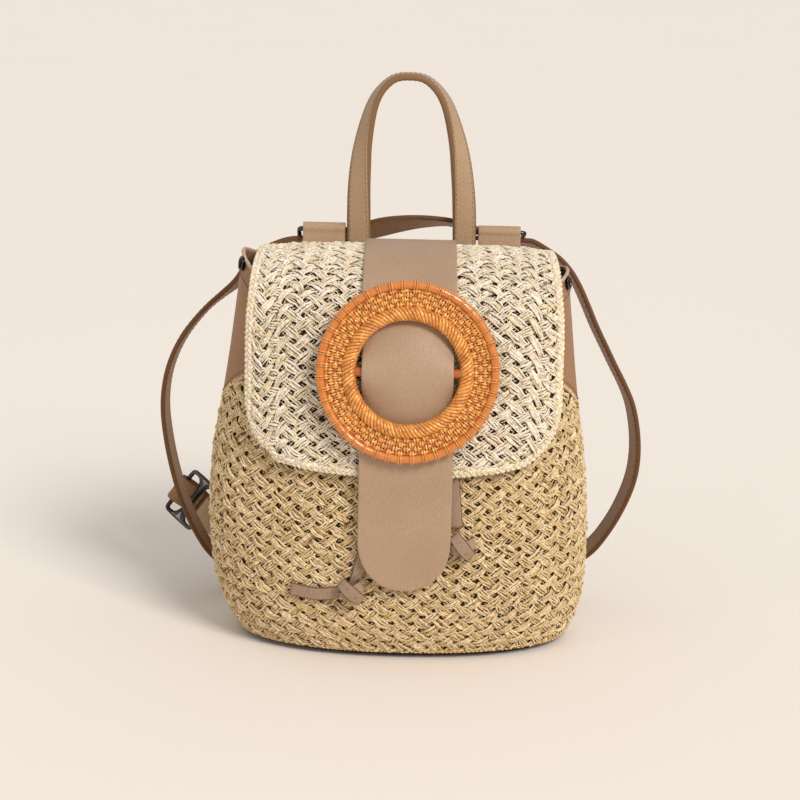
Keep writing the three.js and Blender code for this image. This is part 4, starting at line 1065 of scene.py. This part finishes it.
spoke_lines = []
for spoke in range(RING_SPOKES):
    angle = 2 * math.pi * spoke / RING_SPOKES
    lashing = spoke % 2 == 1
    for side in (-1, 1):
        radii = np.linspace(RING_COILS[0] - 0.0014, RING_COILS[-1] + 0.0014, 9)
        gap = (RING_LASHING_GAP if lashing else RING_SPOKE_GAP) * side
        sign = -1 if lashing else 1
        out = np.array([0.4, 1, 0.1, -1, 0, 1, 0.1, -1, -0.4]) * sign * (RING_COIL_RADIUS + 0.00045)
        # Spokes get high tones, paler than the coils: partly their own colour, partly a painted highlight
        # on the raised canes.
        tone = np.clip(ring_chance.normal(0.9, 0.12), 0, 1)
        spoke_lines.append((ring_at(angle + gap / radii, radii, out), tone, 1.0))
        if lashing:
            wind = np.radians(np.linspace(205, -25, 12))
            reach = RING_ROD_RADIUS + 0.0004
            radii = RING_ROD + reach * np.cos(wind)
            line = ring_at(angle + gap / radii, radii, reach * np.sin(wind))
            spoke_lines.append((line, tone * 0.6, 0.85))
ring_spokes = strands("ring_spokes", spoke_lines, RING_SPOKE_RADIUS, RATTAN, 5)
rod_line = ring_at(np.linspace(0, 2 * math.pi, 145)[:-1], RING_ROD, 0.0)
ring_rod = strands("ring_rod", [(rod_line, 0.5, 1.0)], RING_ROD_RADIUS, RATTAN_DARK, 16, True)
# A dark web behind the coils and a dark core inside the cane cord are painted shade: they stand for the
# shadow in the gaps between the canes, with soft mottling.
RING_SHADE = Finish("rattan painted shade", Specular_IOR_Level=0.2)
shade_mottle = RING_SHADE.noise(0.002, 3.0)
RING_SHADE = RING_SHADE.done(
    shade_mottle,
    0.0003,
    Base_Color=RING_SHADE.mix(shade_mottle.step(0.3, 0.7), (58, 24, 6), (90, 42, 12)),
    Roughness=0.6 + 0.2 * shade_mottle,
)
disc_turns = np.linspace(0, 2 * math.pi, 97)[:-1]
WEB_INSIDE, WEB_OUTSIDE, WEB_FACE, WEB_BACK = 0.038, 0.0515, -0.0006, -0.0016
web_corners = (
    (WEB_INSIDE, WEB_FACE),
    (WEB_OUTSIDE, WEB_FACE),
    (WEB_OUTSIDE, WEB_BACK),
    (WEB_INSIDE, WEB_BACK),
)
disc = np.stack([ring_at(disc_turns, radius, out) for radius, out in web_corners], axis=1)
ring_disc = skin("ring_shade_web", disc, RING_SHADE, None, joined=True)
ring_shade_core = strands("ring_shade_core", [(rope_core, 0.5, 1.0)], RING_ROPE_RADIUS - 0.0002, RING_SHADE, 12, True)
ring_pieces = (ring_rope, ring_coils, ring_spokes, ring_rod, ring_disc, ring_shade_core)
placed("rattan", ("rattan_ring",), *ring_pieces)
crossbar = dressed("crossbar_cane", "ring_crossbar", RATTAN_DARK, 0.0004, 1)
placed("rattan", ("ring_crossbar",), crossbar)

# Handle: a folded leather strap, sewn along both edges, with its legs sewn flat to the back
# of the flap and its top turned edge-on.
HANDLE_LEATHER = leather("handle leather", (186, 154, 122), (162, 130, 98), (132, 98, 66), 0.42)
handle_line = ribbon_rows(rails("handle", (-1, 0, -1)), 0.003)
handle = ribbon("handle_leather", handle_line, HANDLE_LEATHER, 0.0012, 0.1)


def edge_stitches(line, inset, faces=(1, -1), span=(0.0, 1.0), pitch=0.0032):
    """Stitch lines along both edges of a ribbon, on the named faces."""
    middle, wide, thick = line
    first, last = int(span[0] * len(middle)), int(span[1] * len(middle))
    cut_short = slice(first, last)
    half = np.linalg.norm(wide, axis=1, keepdims=True)
    out = unit(thick)
    lines = []
    for side in (-1, 1):
        for face in faces:
            path = middle + wide / half * side * (half - inset) + thick * face
            lines += stitches(path[cut_short], (out * face)[cut_short], pitch, lift=0.00008)
    return lines


handle_thread = strands("handle_stitches", edge_stitches(handle_line, 0.0022), 0.00026, THREAD, 4)
placed("leather", ("handle",), handle, handle_thread)

# Shoulder strap: one long strap of two-layered leather through both top rings and both
# slides, with dark painted edges, sewn along both edges. Two short anchors are sewn to the
# bag's back and go round the slides' first bars.
STRAP_LEATHER = leather("strap leather", (166, 128, 92), (138, 100, 66), (100, 64, 34), 0.5)
STRAP_STITCH_INSET = 0.0024
STRAP_THREAD_RADIUS = 0.00024
strap_line = ribbon_rows(rails("shoulder_strap", (-1, 0, -1)), 0.003)
strap = ribbon("strap_leather", strap_line, STRAP_LEATHER, 0.0009, 0.08)
strap_sewing = edge_stitches(strap_line, STRAP_STITCH_INSET, pitch=0.0036)
strap_thread = strands("strap_stitches", strap_sewing, STRAP_THREAD_RADIUS, THREAD, 4)
placed("leather", ("shoulder_strap",), strap, strap_thread)
for part, start in (("left", (1, 0, 0)), ("right", (1, 0, 0))):
    anchor_line = ribbon_rows(rails("strap_anchor_" + part, start), 0.002)
    anchor = ribbon("anchor_" + part, anchor_line, HANDLE_LEATHER, 0.0007, 0.1)
    anchor_sewing = edge_stitches(anchor_line, STRAP_STITCH_INSET, (1, -1), (0.02, 0.6))
    anchor_thread = strands(
        "anchor_stitches_" + part, anchor_sewing, STRAP_THREAD_RADIUS, THREAD, 4
    )
    tab = dressed("tab_" + part, "ring_tab_" + part, HANDLE_LEATHER, 0.0005, 1)
    placed("leather", ("strap_anchor_" + part,), anchor, anchor_thread)
    placed("leather", ("ring_tab_" + part,), tab)

# Metal: dark polished wire rings and slides, and turned eyelets, all in gunmetal plating.
GUNMETAL = Finish("gunmetal", Metallic=1.0)
polish = GUNMETAL.noise(0.012, 3.0)
scratch = GUNMETAL.noise(0.0007, 2.0)
GUNMETAL = GUNMETAL.done(
    scratch,
    0.00005,
    0.3,
    Base_Color=GUNMETAL.mix(polish.step(0.3, 0.7), (92, 84, 80), (50, 45, 42)),
    Roughness=0.06 + 0.1 * polish,
)
for node in ("top_ring_left", "top_ring_right", "strap_slide_left", "strap_slide_right") + EYELETS:
    piece = dressed(node + "_metal", node, GUNMETAL, 0, 2)
    placed("gunmetal", (node,), piece)

# Base: a stiff dark leather panel under the straw, with a rounded edge. Little of it shows.
BASE_LEATHER = leather("base leather", (98, 70, 50), (70, 46, 32), (60, 38, 26), 0.6)
base = dressed("base_leather", "base_panel", BASE_LEATHER, 0.0008, 0)
placed("base_leather", ("base_panel",), base)

# Floor: a wide plain sheet, the same pale warm colour as the photograph's background.
FLOOR = Finish("floor", Specular_IOR_Level=0.15)
paper = FLOOR.noise(0.4, 2.0)
FLOOR = FLOOR.done(
    paper,
    0.0001,
    0.1,
    Base_Color=FLOOR.mix(paper, (243, 233, 222), (242, 231, 220)),
    Roughness=0.9 + 0.05 * paper,
)
floor_mesh = bpy.data.meshes.new("floor")
floor_mesh.from_pydata([(-6, -3, 0), (6, -3, 0), (6, 30, 0), (-6, 30, 0)], [], [(0, 1, 2, 3)])
floor_mesh.materials.append(FLOOR)
shown("floor", floor_mesh)

# Light: a broad soft sun from the upper right in front, in a bright white room, and two
# narrow strips whose reflections show as bright lines on metal and varnish.
world = bpy.data.worlds.new("room")
world.use_nodes = True
room = world.node_tree.nodes["Background"].inputs
room["Color"].default_value = (1.0, 1.0, 1.0, 1)
room["Strength"].default_value = 0.6
bpy.context.scene.world = world
lamp = bpy.data.lights.new("sun", "SUN")
lamp.energy = 1.9
lamp.angle = math.radians(20)
lamp.color = (1.0, 0.99, 0.97)
sun = shown("sun", lamp)
sun.rotation_euler = Vector((-0.75, 1.1, -1.1)).to_track_quat("-Z", "Y").to_euler()
LIT_POINT = Vector((0, 0, 0.15))
for name, place, power in (
    ("left strip", (-1.1, -0.9, 0.7), 0.7),
    ("right strip", (0.9, -1.1, 0.9), 1.4),
):
    lamp = bpy.data.lights.new(name, "AREA")
    lamp.shape = "RECTANGLE"
    lamp.size = 0.06
    lamp.size_y = 0.8
    lamp.energy = power
    strip = shown(name, lamp)
    strip.location = place
    strip.rotation_euler = (LIT_POINT - Vector(place)).to_track_quat("-Z", "Y").to_euler()
bpy.context.scene.view_settings.view_transform = "Standard"

bpy.context.view_layer.update()
